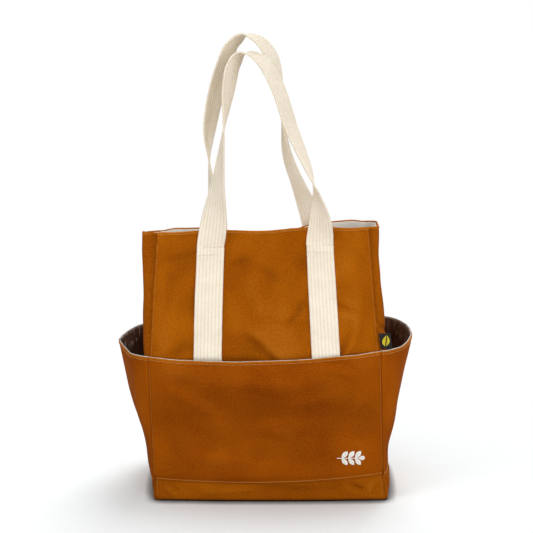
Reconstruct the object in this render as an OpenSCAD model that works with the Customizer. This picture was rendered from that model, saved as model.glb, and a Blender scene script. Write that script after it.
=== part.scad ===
// Garden tool bag: a lined canvas tote with a band of outside pockets, two webbing
// handles and a magnetic snap at the mouth. Millimetres, +Z up, origin at the middle
// of the underside, front towards -Y.

/* [Bag body] */
// Width of the base, seam to seam
base_w = 314; // [300:1:330]
// Depth of the base, front to back
base_d = 162; // [150:1:175]
// Height of the rim at its two ends
rim_h = 368; // [350:1:385]
// Width between the corner seams at the rim
rim_w = 292; // [280:1:300]
// Depth of the mouth at its two ends
mouth_d = 56; // [48:1:70]
// Depth of the mouth in the middle, where the snap holds it
pinch_d = 14; // [14:1:18]
// How far the rim sags in the middle
rim_sag = 7; // [0:1:10]
// How far the front panel bulges at pocket height
panel_bulge = 5; // [2:1:7]
// How far each gusset bulges out above the pockets
gusset_bulge = 13; // [8:1:15]

/* [Settling of the soft bag] */
// Sideways lean of the rim
lean = 9; // [0:1:12]
// Rise of the right side and drop of the left
tilt = 4; // [0:0.5:5]

/* [Pocket band] */
// Height of the pocket rim at the corner seams
pocket_h = 209; // [195:1:220]
// Sag of the pocket rim in the middle of the front
pocket_sag = 7; // [0:0.5:9]
// Height of the band's lower edge at the corner seams
hem_h = 36; // [30:1:45]
// Sag of the lower edge in the middle of the front
hem_sag = 8; // [0:0.5:9]
// Flare of a side pocket at its rim, out from the corner seams
flare = 49; // [40:1:55]
// Stand-off of a side pocket at its lower edge
flare_low = 8; // [7:0.5:12]
// Share by which a side pocket is fuller at the back than at the front
flare_skew = 0.2; // [0:0.05:0.3]
// Bulge of the front pocket at its rim
pocket_bulge = 11; // [9:0.5:14]
// Bulge of the front pocket at its lower edge
pocket_bulge_low = 5; // [5:0.5:7]
// Width of the middle of a side pocket, which can be pressed in
press_w = 124; // [110:2:130]

/* [Cloth] */
// Thickness of the outer canvas
canvas_t = 1.8; // [1.2:0.1:2.2]
// Thickness of the linings
lining_t = 0.8; // [0.6:0.1:1]
// Room between the canvas and the main lining
lining_gap = 1.6; // [1.4:0.1:2]
// Room between neighbouring pieces of cloth
cloth_gap = 0.5; // [0.3:0.1:0.8]
// Height of the tape that binds the pocket rim
binding_h = 1.6; // [1.2:0.1:2.5]
// Thickness of the stiffening board in the base
board_t = 3; // [2:0.5:4]

/* [Webbing handles] */
// Width of the webbing
webbing_w = 38; // [32:1:42]
// Thickness of the webbing
webbing_t = 2.2; // [1.8:0.1:2.6]
// Distance between the two runs of webbing at the rim
strap_span = 146; // [135:1:156]
// Extra distance between the two runs at the pocket rim
strap_splay = 10; // [0:1:14]
// Height of the bar tacks that end the sewn-down runs
tack_h = 347; // [342:1:350]
// Shift of both runs to the right of the panel's middle
strap_shift = 3; // [0:0.5:5]
// Depth to which the runs reach inside the pocket
tail_d = 45; // [30:1:60]
// Rise of the front handle over its bar tacks
front_rise = 257; // [240:1:275]
// Rise of the back handle over its bar tacks
back_rise = 280; // [262:1:295]

/* [Snap, label and motif] */
// Radius of the magnetic snap
snap_r = 8; // [7:0.5:8.5]
// Height of the snap's centre
snap_h = 345; // [340:1:348]
// Height of the woven label's lower edge
label_h = 213.5; // [212:0.5:222]
// Width of the woven label outside the seam
label_w = 13; // [10:1:15]
// Length of the woven label along the seam
label_l = 20; // [16:1:24]
// Width of the embroidered sprig
motif_w = 38; // [30:1:44]

/* [Hidden] */

half_w = base_w / 2;
half_d = base_d / 2;
waist_w = half_w - 1.5;      // half width between the seams at the pocket rim
bend_h = pocket_h;           // height at which the upper panels hinge
bend_gap = 0.8;              // room on each side of that line
base_t = 2;                  // thickness of the canvas base
board_z = base_t + 1;
base_lining_z = board_z + board_t + 1;
lining_in = canvas_t + lining_gap;
across = 12;                 // strips across a panel
rows = 6;                    // strips up a panel
fine_rows = 12;              // strips up an upper panel, which curves more

rust = [0.67, 0.36, 0.05];
rust_shade = [0.60, 0.31, 0.04];
cream = [0.94, 0.90, 0.80];
linen = [0.87, 0.85, 0.81];
brown = [0.20, 0.12, 0.08];
grey = [0.75, 0.74, 0.70];
steel = [0.70, 0.70, 0.72];

function mix(a, b, t) = a + (b - a) * t;
function clamp01(t) = max(0, min(1, t));
function ease(t) = let (c = clamp01(t)) c * c * (3 - 2 * c);
function from_to(a, b, n) = [for (i = [0 : n]) mix(a, b, i / n)];

// Where a point of the upright bag ends up once the soft bag has settled.
function settle(p) = [
    p.x - lean * sin(90 * clamp01(p.z / rim_h)),
    p.y,
    p.z + tilt * p.x / half_w * clamp01(p.z / 40)
];

// Share of the way from the pocket rim up to the rim.
function up(z) = clamp01((z - pocket_h) / (rim_h - pocket_h));

// Share by which the middle of a panel has closed on the snap.
closing_knee = 0.7;
closing_rate = 1.18;
function closing(t) = t < closing_knee
    ? closing_rate * t
    : 1 - (1 - closing_rate * closing_knee) * pow((1 - t) / (1 - closing_knee), 2);

// Half width and half depth of the body at the corner seams.
function seam_x(z) = z < pocket_h ? mix(half_w, waist_w, z / pocket_h) : mix(waist_w, rim_w / 2, up(z));
function seam_y(z) = z < pocket_h ? mix(half_d, half_d + 1, z / pocket_h) : mix(half_d + 1, mouth_d / 2, up(z));
function middle_y(z) = z < pocket_h
    ? seam_y(z) + panel_bulge * ease(z / 60)
    : mix(half_d + 1 + panel_bulge, pinch_d / 2, closing(up(z)));

// Outer face of the front panel, at share s from the middle to a corner seam.
function panel_y(s, z) = mix(middle_y(z), seam_y(z), s * s);
function front_pt(s, z, inset) = let (room = inset + cloth_gap / 2)
    settle([s * (seam_x(z) - room), -(panel_y(s, z) - inset), z]);

// Outer face of a gusset; side is -1 on the left and 1 on the right.
function bulge_at(z) = gusset_bulge * ease((z - 60) / 150);
function gusset_pt(side, s, z, inset) = let (room = inset + cloth_gap / 2)
    settle([side * (seam_x(z) - inset + bulge_at(z) * (1 - s * s)), s * (seam_y(z) - room), z]);

// Height of the rim and of the pocket band's two edges at share s across.
function rim_z(s) = rim_h - rim_sag * (1 - s * s);
function pocket_rim_z(s) = pocket_h - pocket_sag * (1 - s * s);
function hem_z(s) = hem_h - hem_sag * (1 - s * s);

// The pocket band: flat across the front, then round the corner into the side.
// facing is -1 for the front of the bag and 1 for its back.
function band_up(z) = clamp01((z - hem_h) / (pocket_h - hem_h));
function band_bulge(z) = mix(pocket_bulge_low, pocket_bulge, band_up(z));
function side_flare(z) = flare_low + (flare - flare_low) * pow(band_up(z), 1.4);
function band_front(s, z, out, facing = -1) =
    settle([s * seam_x(z), facing * (seam_y(z) + out + band_bulge(z) * (1 - s * s)), z]);
function band_side(side, turn, z, out) = settle([
    side * (seam_x(z) + (side_flare(z) * (1 + flare_skew * sin(turn)) + out) * cos(turn)),
    (seam_y(z) + out) * sin(turn),
    z
]);

// A sheet of cloth between two grids of points with the same rows and columns.
module sheet(outer, inner, flip = false) {
    nk = len(outer);
    nj = len(outer[0]);
    shift = nk * nj;
    points = concat([for (k = outer) for (p = k) p], [for (k = inner) for (p = k) p]);
    at = function (k, j) k * nj + j;
    skin = [for (k = [0 : nk - 2]) for (j = [0 : nj - 2]) each [
        [at(k, j), at(k, j + 1), at(k + 1, j + 1)],
        [at(k, j), at(k + 1, j + 1), at(k + 1, j)]
    ]];
    back = [for (f = skin) [f[0] + shift, f[2] + shift, f[1] + shift]];
    edge = concat(
        [for (k = [0 : nk - 2]) [at(k, 0), at(k + 1, 0)]],
        [for (j = [0 : nj - 2]) [at(nk - 1, j), at(nk - 1, j + 1)]],
        [for (k = [nk - 1 : -1 : 1]) [at(k, nj - 1), at(k - 1, nj - 1)]],
        [for (j = [nj - 1 : -1 : 1]) [at(0, j), at(0, j - 1)]]
    );
    wall = [for (e = edge) each [
        [e[0], e[1], e[1] + shift],
        [e[0], e[1] + shift, e[0] + shift]
    ]];
    faces = concat(skin, back, wall);
    polyhedron(points, flip ? faces : [for (f = faces) [f[2], f[1], f[0]]]);
}

module behind() {
    mirror([0, 1, 0]) children();
}

// Stretches of the front panel, between two insets and two heights.
module front_stretch(inset, t, low, high, strips) {
    grid = function (d) [for (s = from_to(-1, 1, across))
        [for (r = from_to(0, 1, strips)) front_pt(s, mix(low, high(s), r), d)]];
    sheet(grid(inset), grid(inset + t));
}

module lower_stretch(inset, t, low) {
    front_stretch(inset, t, low, function (s) bend_h - bend_gap, rows);
}

module upper_stretch(inset, t, drop) {
    front_stretch(inset, t, bend_h + bend_gap, function (s) rim_z(s) - drop, fine_rows);
}

module gusset_stretch(side, inset, t, low, drop) {
    heights = concat(from_to(low, pocket_h - 1, rows), from_to(pocket_h, rim_h - drop, rows));
    grid = function (d) [for (s = from_to(-1, 1, rows))
        [for (z = heights) gusset_pt(side, s, z, d)]];
    sheet(grid(inset), grid(inset + t), side < 0);
}

// Turn at which the band is y from the middle of the side.
function turn_at(y, z, out) = asin(y / (seam_y(z) + out));
press_gap = 0.6;             // room between the pressed middle and the rest of the band
seam_turn = 88;              // turn at which a side passes to the front or back

// The part of the band that is sewn to the front or back: the flat run and both wraps.
module band_stretch(facing, out, t, low, high) {
    wraps = from_to(0, 1, 3);
    flats = from_to(-1, 1, across);
    column = function (s, place) [for (r = from_to(0, 1, rows)) place(mix(low(s), high(s), r))];
    wrap_turn = function (r, z, d) mix(turn_at(press_w / 2 + press_gap, z, d), seam_turn, r);
    wrap = function (side, r, d)
        column(1, function (z) band_side(side, facing * wrap_turn(r, z, d), z, d));
    grid = function (d) concat(
        [for (r = wraps) wrap(-1, r, d)],
        [for (s = flats) column(s, function (z) band_front(s, z, d, facing))],
        [for (r = wraps) wrap(1, 1 - r, d)]
    );
    sheet(grid(out + t), grid(out), facing > 0);
}

// The middle of a side pocket. Its edges are in planes across the bag, so that it clears
// the wraps when it is pressed in.
module side_stretch(side, out, t, low, high) {
    place = function (r, z, d) band_side(side, r * turn_at(press_w / 2, z, d), z, d);
    grid = function (d) [for (r = from_to(-1, 1, 8))
        [for (v = from_to(0, 1, rows)) place(r, mix(low, high, v), d)]];
    sheet(grid(out + t), grid(out), side < 0);
}

lining_out = 1;              // room between the body and the pocket lining
panel_out = lining_out + lining_t + cloth_gap;
binding_t = panel_out + canvas_t - lining_out;

// A run of webbing sewn flat on the front panel, side -1 or 1, between two heights.
function strap_x(side, z) = strap_shift + side * (strap_span + strap_splay * (1 - up(z))) / 2;
function strap_pt(side, edge, z, out) =
    let (x = strap_x(side, z) + edge * webbing_w / 2)
    settle([x, -(panel_y(x / seam_x(z), z) + out), z]);

module strap_run(side, low, high) {
    grid = function (d) [for (e = from_to(-1, 1, 3))
        [for (r = from_to(0, 1, fine_rows)) strap_pt(side, e, mix(low, high, r), d)]];
    sheet(grid(cloth_gap + webbing_t), grid(cloth_gap));
}

module strap_runs(low, high) {
    for (side = [-1, 1]) strap_run(side, low, high);
}

module bar_tacks() {
    for (side = [-1, 1]) {
        grid = function (d) [for (e = from_to(-0.9, 0.9, 3))
            [for (z = [tack_h - 8, tack_h - 5]) strap_pt(side, e, z, d)]];
        sheet(grid(2 * cloth_gap + webbing_t + 0.7), grid(2 * cloth_gap + webbing_t));
    }
}

// A handle is a loop of webbing that turns edge-on as it rises. Each guide gives the
// place across, the share of the rise, the stand-off from the bar tacks' plane and the
// turn of the width away from the X axis.
left_foot = settle([strap_x(-1, tack_h), 0, tack_h]).x;
right_foot = settle([strap_x(1, tack_h), 0, tack_h]).x;
front_guides = [
    [left_foot, 0, 0, 0], [-76, 0.12, 0, 18], [-70, 0.32, 0.5, 60], [-62, 0.58, 1, 86],
    [-55, 0.8, 1, 114], [-50, 0.935, 1, 118], [-37, 1, 1, 118], [-14, 0.965, 1, 118],
    [9, 0.82, 1, 119], [30, 0.6, 1, 117], [52, 0.4, 0.5, 104], [64, 0.26, 0, 78],
    [69, 0.12, 0, 42], [right_foot, 0, 0, 0]
];
back_guides = [
    [left_foot, 0, 0, 0], [-81, 0.2, 0, 44], [-83, 0.4, 2, 88], [-82, 0.55, 4, 114],
    [-72, 0.73, 5, 124], [-59, 0.9, 5, 121], [-49, 0.965, 5, 118], [-34, 1, 5, 118],
    [-12, 0.965, 5, 118], [6, 0.86, 5, 117], [14, 0.7, 4, 104], [18, 0.57, 4, 88],
    [25, 0.41, 2, 70], [42, 0.25, 1, 56], [60, 0.1, 0, 26], [66, 0.045, 0, 4],
    [right_foot, 0, 0, 0]
];
guide_steps = 4;

function curve(a, b, c, d, t) = 0.5 * (2 * b + (c - a) * t
    + (2 * a - 5 * b + 4 * c - d) * t * t + (3 * b - a - 3 * c + d) * t * t * t);
function guide(list, i) = list[max(0, min(len(list) - 1, i))];
function curve_at(list, i, t) =
    curve(guide(list, i - 1), guide(list, i), guide(list, i + 1), guide(list, i + 2), t);
function smooth_curve(list) = concat(
    [for (i = [0 : len(list) - 2]) for (k = [0 : guide_steps - 1]) curve_at(list, i, k / guide_steps)],
    [list[len(list) - 1]]
);
function unit(v) = v / norm(v);

// The feet stand off the curved panel far enough for their outer edges to clear it.
foot_edge = strap_shift + (strap_span + webbing_w) / 2;
foot_room = 2;
handle_y = panel_y(foot_edge / seam_x(tack_h), tack_h) + foot_room + webbing_t / 2;
handle_lift = 1.2;           // start of the loop over the hinge line at the bar tacks
foot_run = [-tilt / half_w, 0, 1];   // the feet leave the hinge line squarely

module loop(guides, rise, side) {
    path = smooth_curve(guides);
    foot_z = function (g) tack_h + handle_lift + tilt * g[0] / half_w * (1 - g[1]);
    centre = [for (g = path) [g[0], side * (handle_y + g[2]), foot_z(g) + g[1] * rise]];
    n = len(centre);
    run_at = function (i) i == 0 ? foot_run : i == n - 1 ? -foot_run : centre[i + 1] - centre[i - 1];
    rings = [for (i = [0 : n - 1])
        let (
            run = unit(run_at(i)),
            flat = [cos(path[i][3]), -sin(path[i][3]), 0],
            wide = unit(flat - run * (flat * run)) * webbing_w / 2,
            thick = unit(cross(wide, run)) * webbing_t / 2
        )
        [centre[i] - wide - thick, centre[i] + wide - thick,
         centre[i] + wide + thick, centre[i] - wide + thick]];
    last = 4 * (n - 1);
    sides = [for (i = [0 : n - 2]) for (k = [0 : 3]) each
        let (a = 4 * i + k, b = 4 * i + (k + 1) % 4)
        [[a, b, b + 4], [a, b + 4, a + 4]]];
    caps = [[0, 2, 1], [0, 3, 2], [last, last + 1, last + 2], [last, last + 2, last + 3]];
    polyhedron([for (r = rings) each r], [for (f = concat(sides, caps)) [f[2], f[1], f[0]]]);
}

// Base
base_inset = canvas_t + cloth_gap;

module base_plate(z, t, inset) {
    translate([-half_w + inset, -half_d + inset, z])
        cube([base_w - 2 * inset, base_d - 2 * inset, t]);
}

module base_panel() {
    color(rust_shade) base_plate(0, base_t, base_inset);
}

module base_board() {
    color(grey) base_plate(board_z, board_t, base_inset + 2);
}

module base_lining() {
    color(linen) base_plate(base_lining_z, lining_t, lining_in + lining_t + cloth_gap);
}

// Body, below the bend line
module front_panel_lower() {
    color(rust) lower_stretch(0, canvas_t, 0);
}

module back_panel_lower() {
    color(rust) behind() lower_stretch(0, canvas_t, 0);
}

module front_lining_lower() {
    color(linen) lower_stretch(lining_in, lining_t, base_lining_z);
}

module back_lining_lower() {
    color(linen) behind() lower_stretch(lining_in, lining_t, base_lining_z);
}

module left_gusset() {
    color(rust_shade) gusset_stretch(-1, 0, canvas_t, 0, 0);
}

module right_gusset() {
    color(rust_shade) gusset_stretch(1, 0, canvas_t, 0, 0);
}

module left_gusset_lining() {
    color(linen) gusset_stretch(-1, lining_in, lining_t, base_lining_z, 3);
}

module right_gusset_lining() {
    color(linen) gusset_stretch(1, lining_in, lining_t, base_lining_z, 3);
}

// Pocket band
hem_turn = 4;                // height of the turned-up canvas below the pocket lining

module band_panel(facing) {
    color(rust) band_stretch(facing, panel_out, canvas_t,
        function (s) hem_z(s), function (s) pocket_rim_z(s));
}

module band_lining(facing) {
    color(brown) band_stretch(facing, lining_out, lining_t,
        function (s) hem_z(s) + hem_turn, function (s) pocket_rim_z(s));
}

module band_binding(facing) {
    color(grey) band_stretch(facing, lining_out, binding_t,
        function (s) pocket_rim_z(s) + cloth_gap, function (s) pocket_rim_z(s) + cloth_gap + binding_h);
}

module front_pocket_panel() {
    band_panel(-1);
}

module back_pocket_panel() {
    band_panel(1);
}

module front_pocket_lining() {
    band_lining(-1);
}

module back_pocket_lining() {
    band_lining(1);
}

module front_pocket_binding() {
    band_binding(-1);
}

module back_pocket_binding() {
    band_binding(1);
}

module side_panel(side) {
    color(rust_shade) side_stretch(side, panel_out, canvas_t, hem_h, pocket_h);
}

module side_lining(side) {
    color(brown) side_stretch(side, lining_out, lining_t, hem_h + hem_turn, pocket_h);
}

module side_binding(side) {
    color(grey) side_stretch(side, lining_out, binding_t,
        pocket_h + cloth_gap, pocket_h + cloth_gap + binding_h);
}

module left_pocket_panel() {
    side_panel(-1);
}

module left_pocket_lining() {
    side_lining(-1);
}

module left_pocket_binding() {
    side_binding(-1);
}

module right_pocket_panel() {
    side_panel(1);
}

module right_pocket_lining() {
    side_lining(1);
}

module right_pocket_binding() {
    side_binding(1);
}

// Upper panels, which open
module front_panel_upper() {
    color(rust) upper_stretch(0, canvas_t, 0);
}

module front_lining_upper() {
    color(linen) upper_stretch(lining_in, lining_t, 3);
}

module back_panel_upper() {
    behind() front_panel_upper();
}

module back_lining_upper() {
    behind() front_lining_upper();
}

// Webbing
tack_room = 1.4;             // top of a sewn run below the hinge line

module strap_tails() {
    color(cream) {
        strap_runs(bend_h - tail_d, bend_h - bend_gap);
        behind() strap_runs(bend_h - tail_d, bend_h - bend_gap);
    }
}

module front_straps() {
    color(cream) strap_runs(bend_h + bend_gap, tack_h - tack_room);
}

module back_straps() {
    behind() front_straps();
}

module front_bar_tacks() {
    color(linen) bar_tacks();
}

module back_bar_tacks() {
    behind() front_bar_tacks();
}

module front_handle() {
    color(cream) loop(front_guides, front_rise, -1);
}

module back_handle() {
    color(cream) loop(back_guides, back_rise, 1);
}

// Magnetic snap: a stud on the front lining that seats in a socket on the back lining
snap_face = 0.3;             // half the room between the two halves
snap_back = middle_y(snap_h + snap_r) - lining_in - lining_t - 0.3;
stud_r = 4;
stud_l = 2.4;
stud_room = 0.3;
snap_fn = 40;

module snap_place() {
    translate([-lean * sin(90 * snap_h / rim_h), 0, snap_h]) rotate([-90, 0, 0]) children();
}

module snap_stud() {
    color(steel) snap_place() {
        translate([0, 0, -snap_back]) cylinder(h = snap_back - snap_face, r = snap_r, $fn = snap_fn);
        translate([0, 0, -snap_face - 0.1]) cylinder(h = stud_l, r = stud_r, $fn = snap_fn);
    }
}

module snap_socket() {
    color(steel) snap_place() difference() {
        translate([0, 0, snap_face]) cylinder(h = snap_back - snap_face, r = snap_r, $fn = snap_fn);
        cylinder(h = stud_l + stud_room, r = stud_r + stud_room, $fn = snap_fn);
    }
}

washer_t = 0.5;
washer_r = 6;

module snap_washer() {
    low = middle_y(snap_h - washer_r);
    high = middle_y(snap_h + washer_r);
    slope = atan((low - high) / (2 * washer_r));
    gap_middle = (low + high) / 2 - canvas_t - lining_gap / 2;
    color(steel)
        translate([-lean * sin(90 * snap_h / rim_h), -gap_middle, snap_h])
        rotate([90 - slope, 0, 0])
        translate([0, 0, -washer_t / 2])
        difference() {
            cylinder(h = washer_t, r = washer_r, $fn = snap_fn);
            translate([0, 0, -1]) cylinder(h = washer_t + 2, r = 2, $fn = snap_fn);
        }
}

module snap_stud_washer() {
    snap_washer();
}

module snap_socket_washer() {
    behind() snap_washer();
}

// Woven label, held in the right front corner seam
label_t = 0.8;
label_seam = settle([seam_x(label_h), -seam_y(label_h), label_h]);

module woven_label() {
    color([0.1, 0.1, 0.1])
        translate([label_seam.x + 1, label_seam.y - 1.5, label_seam.z])
        cube([label_w, label_t, label_l]);
}

// Embroidered sprig on the front pocket: a stem with pairs of leaves
motif_x = 113;
motif_z = 62;
motif_t = 0.7;
leaf_pairs = 3;

module leaf(length, width) {
    r = (length * length + width * width) / (4 * width);
    intersection() {
        translate([length / 2, r - width / 2]) circle(r = r, $fn = 48);
        translate([length / 2, -r + width / 2]) circle(r = r, $fn = 48);
    }
}

module sprig() {
    leaf_l = motif_w * 0.3;
    leaf_w = leaf_l * 0.42;
    translate([-motif_w / 2, -0.6]) square([motif_w * 0.78, 1.2]);
    translate([motif_w * 0.26, 0]) leaf(motif_w * 0.24, leaf_w);
    for (i = [0 : leaf_pairs - 1]) for (up_down = [-1, 1])
        translate([mix(-motif_w * 0.34, motif_w * 0.14, i / (leaf_pairs - 1)), 0])
        rotate(up_down * 52) translate([-0.5, 0]) leaf(leaf_l, leaf_w);
}

module embroidered_motif() {
    s = motif_x / seam_x(motif_z);
    at = band_front(s, motif_z, panel_out + canvas_t + 0.9);
    side = band_front(s + 0.1, motif_z, panel_out + canvas_t + 0.9);
    above = band_front(s, motif_z + 10, panel_out + canvas_t + 0.9);
    yaw = atan2(side.y - at.y, side.x - at.x);
    pitch = atan2(above.y - at.y, above.z - at.z);
    color(cream) translate(at) rotate([0, 0, yaw]) rotate([90 - pitch, 0, 0])
        linear_extrude(motif_t) sprig();
}

base_panel();
base_board();
base_lining();
front_panel_lower();
back_panel_lower();
left_gusset();
right_gusset();
front_lining_lower();
back_lining_lower();
left_gusset_lining();
right_gusset_lining();
front_pocket_panel();
back_pocket_panel();
front_pocket_lining();
back_pocket_lining();
front_pocket_binding();
back_pocket_binding();
strap_tails();
embroidered_motif();
left_pocket_panel();
left_pocket_lining();
left_pocket_binding();
right_pocket_panel();
right_pocket_lining();
right_pocket_binding();
front_panel_upper();
front_lining_upper();
front_straps();
front_bar_tacks();
snap_stud();
snap_stud_washer();
back_panel_upper();
back_lining_upper();
back_straps();
back_bar_tacks();
snap_socket();
snap_socket_washer();
front_handle();
back_handle();
woven_label();
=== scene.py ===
import math
from collections import namedtuple

import bpy
import numpy as np
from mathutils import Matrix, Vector


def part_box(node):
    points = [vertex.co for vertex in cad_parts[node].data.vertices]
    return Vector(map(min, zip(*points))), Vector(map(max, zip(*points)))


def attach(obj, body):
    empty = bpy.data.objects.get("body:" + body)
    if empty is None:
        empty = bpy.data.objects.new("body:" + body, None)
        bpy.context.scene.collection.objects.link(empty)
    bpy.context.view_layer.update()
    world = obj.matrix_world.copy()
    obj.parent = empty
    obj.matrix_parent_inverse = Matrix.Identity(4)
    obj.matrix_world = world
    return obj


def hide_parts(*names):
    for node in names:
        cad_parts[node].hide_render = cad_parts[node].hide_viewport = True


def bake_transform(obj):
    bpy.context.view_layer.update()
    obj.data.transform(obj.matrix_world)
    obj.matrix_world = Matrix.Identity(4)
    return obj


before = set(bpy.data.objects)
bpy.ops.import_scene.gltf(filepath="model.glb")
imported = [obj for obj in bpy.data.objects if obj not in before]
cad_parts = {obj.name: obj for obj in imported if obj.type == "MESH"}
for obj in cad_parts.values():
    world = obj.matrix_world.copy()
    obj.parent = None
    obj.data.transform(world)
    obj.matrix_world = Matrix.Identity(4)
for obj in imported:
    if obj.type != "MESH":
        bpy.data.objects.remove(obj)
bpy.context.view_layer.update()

# Garden tool bag. Shapes are worked out in millimetres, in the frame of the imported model
# (origin under the middle of the base, +X right, -Y front, +Z up), and turned into metres
# when a mesh is made.
MM = 0.001
FRONT, BACK = -1, 1
LEFT, RIGHT = -1, 1
WORD = {FRONT: "front", BACK: "back"}
SIDE = {LEFT: "left", RIGHT: "right"}
MOUTH = {FRONT: "front_mouth", BACK: "back_mouth"}


def span(node):
    """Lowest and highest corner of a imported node, in millimetres."""
    low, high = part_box(node)
    return np.array(low) / MM, np.array(high) / MM


def middle_height(end, left, right):
    """Mean height of two nodes' low (0) or high (1) ends."""
    return (span(left)[end][2] + span(right)[end][2]) / 2


# ---------------------------------------------------------------- sizes
CANVAS_T = 1.8
LINING_T = 0.8
WEB_T = 2.4
LABEL_T = 0.9
CLOTH_GAP = 0.5

EDGE_ROOM = CANVAS_T + CLOTH_GAP
HALF_W = span("base_panel")[1][0] + EDGE_ROOM       # at the foot
HALF_D = span("base_panel")[1][1] + EDGE_ROOM
WAIST_W = HALF_W - 1.5                              # at the pocket rim
WAIST_D = HALF_D + 1
RIM_H = middle_height(1, "left_gusset", "right_gusset")
RIM_W = 292.0
MOUTH_D = 56.0              # gap between the panels at the corners and in the middle
PINCH_D = 14.0
RIM_SAG = 7.0
LEAN = 9.0                  # the top leans left, and everything rises to the right
TILT = 4.0
BACK_TILT = 3.4             # the back rim rises further, and its two ends are pulled down
BACK_DROP = 3.6
FOOT_SPREAD = 3.0           # the soft foot spreads below the hem and stands to the right
FOOT_SHIFT = 1.5
PANEL_BULGE = 5.0

POCKET_H = middle_height(1, "left_pocket_panel", "right_pocket_panel")
HEM_H = middle_height(0, "left_pocket_panel", "right_pocket_panel")
POCKET_SAG = 7.0
HEM_SAG = 8.0
POCKET_BULGE = 11.0
BAND_OUT = 2.3              # stand-off of the pocket's canvas, its outer face and its lining
BAND_FACE = BAND_OUT + CANVAS_T
BAND_LINING_OUT = BAND_OUT - 0.3

WEB_W = 38.0
STRAP_SPAN = 146.0          # between the middles of a pair of straps, at the rim
STRAP_SPLAY = 10.0
STRAP_SHIFT = 3.0
TACK_H = 347.0
TAIL_D = span("strap_tails")[0][2] - POCKET_H


# ---------------------------------------------------------------- small maths
def mix(a, b, t):
    return a + (b - a) * t


def ease(t):
    c = np.clip(t, 0, 1)
    return c * c * (3 - 2 * c)


def bump(x, centre, width):
    """A smooth hill of height 1."""
    return np.exp(-(((x - centre) / width) ** 2))


def unit(v):
    return v / np.maximum(np.linalg.norm(v, axis=-1, keepdims=True), 1e-9)


def distance_along(path):
    steps = np.linalg.norm(np.diff(path, axis=0), axis=1)
    return np.concatenate([[0], np.cumsum(steps)])


def ripples(seed, waves, shortest, longest, stretch=1.0):
    """A smooth random field over a cloth's own two directions, about -1 to 1.
    stretch above 1 draws the folds out along the second direction."""
    rng = np.random.default_rng(seed)
    length = rng.uniform(shortest, longest, waves)
    angle = rng.uniform(0, 2 * np.pi, waves)
    phase = rng.uniform(0, 2 * np.pi, waves)
    ku = np.cos(angle) * 2 * np.pi / length
    kv = np.sin(angle) * 2 * np.pi / length / stretch

    def field(u, v):
        total = sum(np.sin(a * u + b * v + c) for a, b, c in zip(ku, kv, phase))
        return total / math.sqrt(waves)

    return field


def creases(x, z, folds):
    """Single soft folds, each given by its middle, its direction in degrees from the X
    axis, its half length, its half width and its height. A dip runs beside each."""
    total = 0.0
    for cx, cz, angle, length, width, height in folds:
        c, s = math.cos(math.radians(angle)), math.sin(math.radians(angle))
        along = ((x - cx) * c + (z - cz) * s) / length
        across = ((z - cz) * c - (x - cx) * s) / width
        profile = bump(across, 0.25 * along * along, 1) - 0.45 * bump(across, -1.5, 1)
        total = total + height * profile * np.exp(-(along**4))
    return total


# ---------------------------------------------------------------- the bag's shape
def up(z):
    """Share of the way from the pocket rim to the rim."""
    return np.clip((z - POCKET_H) / (RIM_H - POCKET_H), 0, 1)


def spread(z):
    return np.clip(1 - z / HEM_H, 0, 1)


def settle(x, y, z):
    """Where a point of the upright bag ends up once the soft bag has settled."""
    lean = LEAN * np.sin(np.pi / 2 * np.clip(z / RIM_H, 0, 1)) - FOOT_SHIFT * spread(z)
    back_rim = ease((y + 20) / 40) * ease((z - 250) / 110)
    pulled = BACK_DROP * ease((np.abs(x) - 120) / 24)
    rise = TILT * x / HALF_W * np.clip(z / 40, 0, 1)
    rise = rise + (BACK_TILT * x / HALF_W - pulled) * back_rim
    return np.stack(np.broadcast_arrays(x - lean, y, z + rise), -1)


CLOSING_KNEE = 0.7
CLOSING_RATE = 1.18


def closing(t):
    """How far the panels have come together: evenly up to the knee, then more gently."""
    rest = 1 - CLOSING_RATE * CLOSING_KNEE
    gentle = 1 - rest * ((1 - t) / (1 - CLOSING_KNEE)) ** 2
    return np.where(t < CLOSING_KNEE, CLOSING_RATE * t, gentle)


def seam_x(z):
    """Half width between the corner seams."""
    low = mix(HALF_W, WAIST_W, z / POCKET_H) + FOOT_SPREAD * spread(z)
    return np.where(z < POCKET_H, low, mix(WAIST_W, RIM_W / 2, up(z)))


def seam_y(z):
    low = mix(HALF_D, WAIST_D, z / POCKET_H)
    return np.where(z < POCKET_H, low, mix(WAIST_D, MOUTH_D / 2, up(z)))


def panel_room(s, z):
    """Distance from a point of a panel to the nearer corner seam."""
    return seam_x(z) * (1 - np.abs(s))


def foot_share(z):
    """How much of the panels' bulge is reached at height z."""
    return ease((z + 30) / 46)


def middle_y(z):
    low = seam_y(z) + PANEL_BULGE * foot_share(z)
    high = mix(WAIST_D + PANEL_BULGE, PINCH_D / 2, closing(up(z)))
    return np.where(z < POCKET_H, low, high) - 2.8 * ease((z - 352) / 12)


def foot_curl(z):
    """How far the cloth turns in under the bag at its bottom edge."""
    r = 5.0
    d = np.clip(r - z, 0, r)
    return r - np.sqrt(np.maximum(r * r - d * d, 0))


def behind_pocket(z):
    return ease((z - HEM_H + 20) / 12) * ease((POCKET_H - 12 - z) / 16)


def seam_groove(room):
    """The groove where two panels meet."""
    return 1.5 * bump(room, 0, 1.6)


LINING_GAP = 1.6            # between the canvas and the main lining
slow_cloth = {FRONT: ripples(3, 7, 80, 170, 1.4), BACK: ripples(5, 7, 90, 190, 1.6)}
quick_cloth = ripples(8, 14, 24, 60, 1.5)
pucker = ripples(11, 6, 11, 17)


def lining_depth(z):
    """Depth of the main lining, which closes up to the canvas at the rim."""
    return mix(CANVAS_T + LINING_GAP, CANVAS_T + 0.15, ease((z - 345) / 14)) + 0.4


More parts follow.
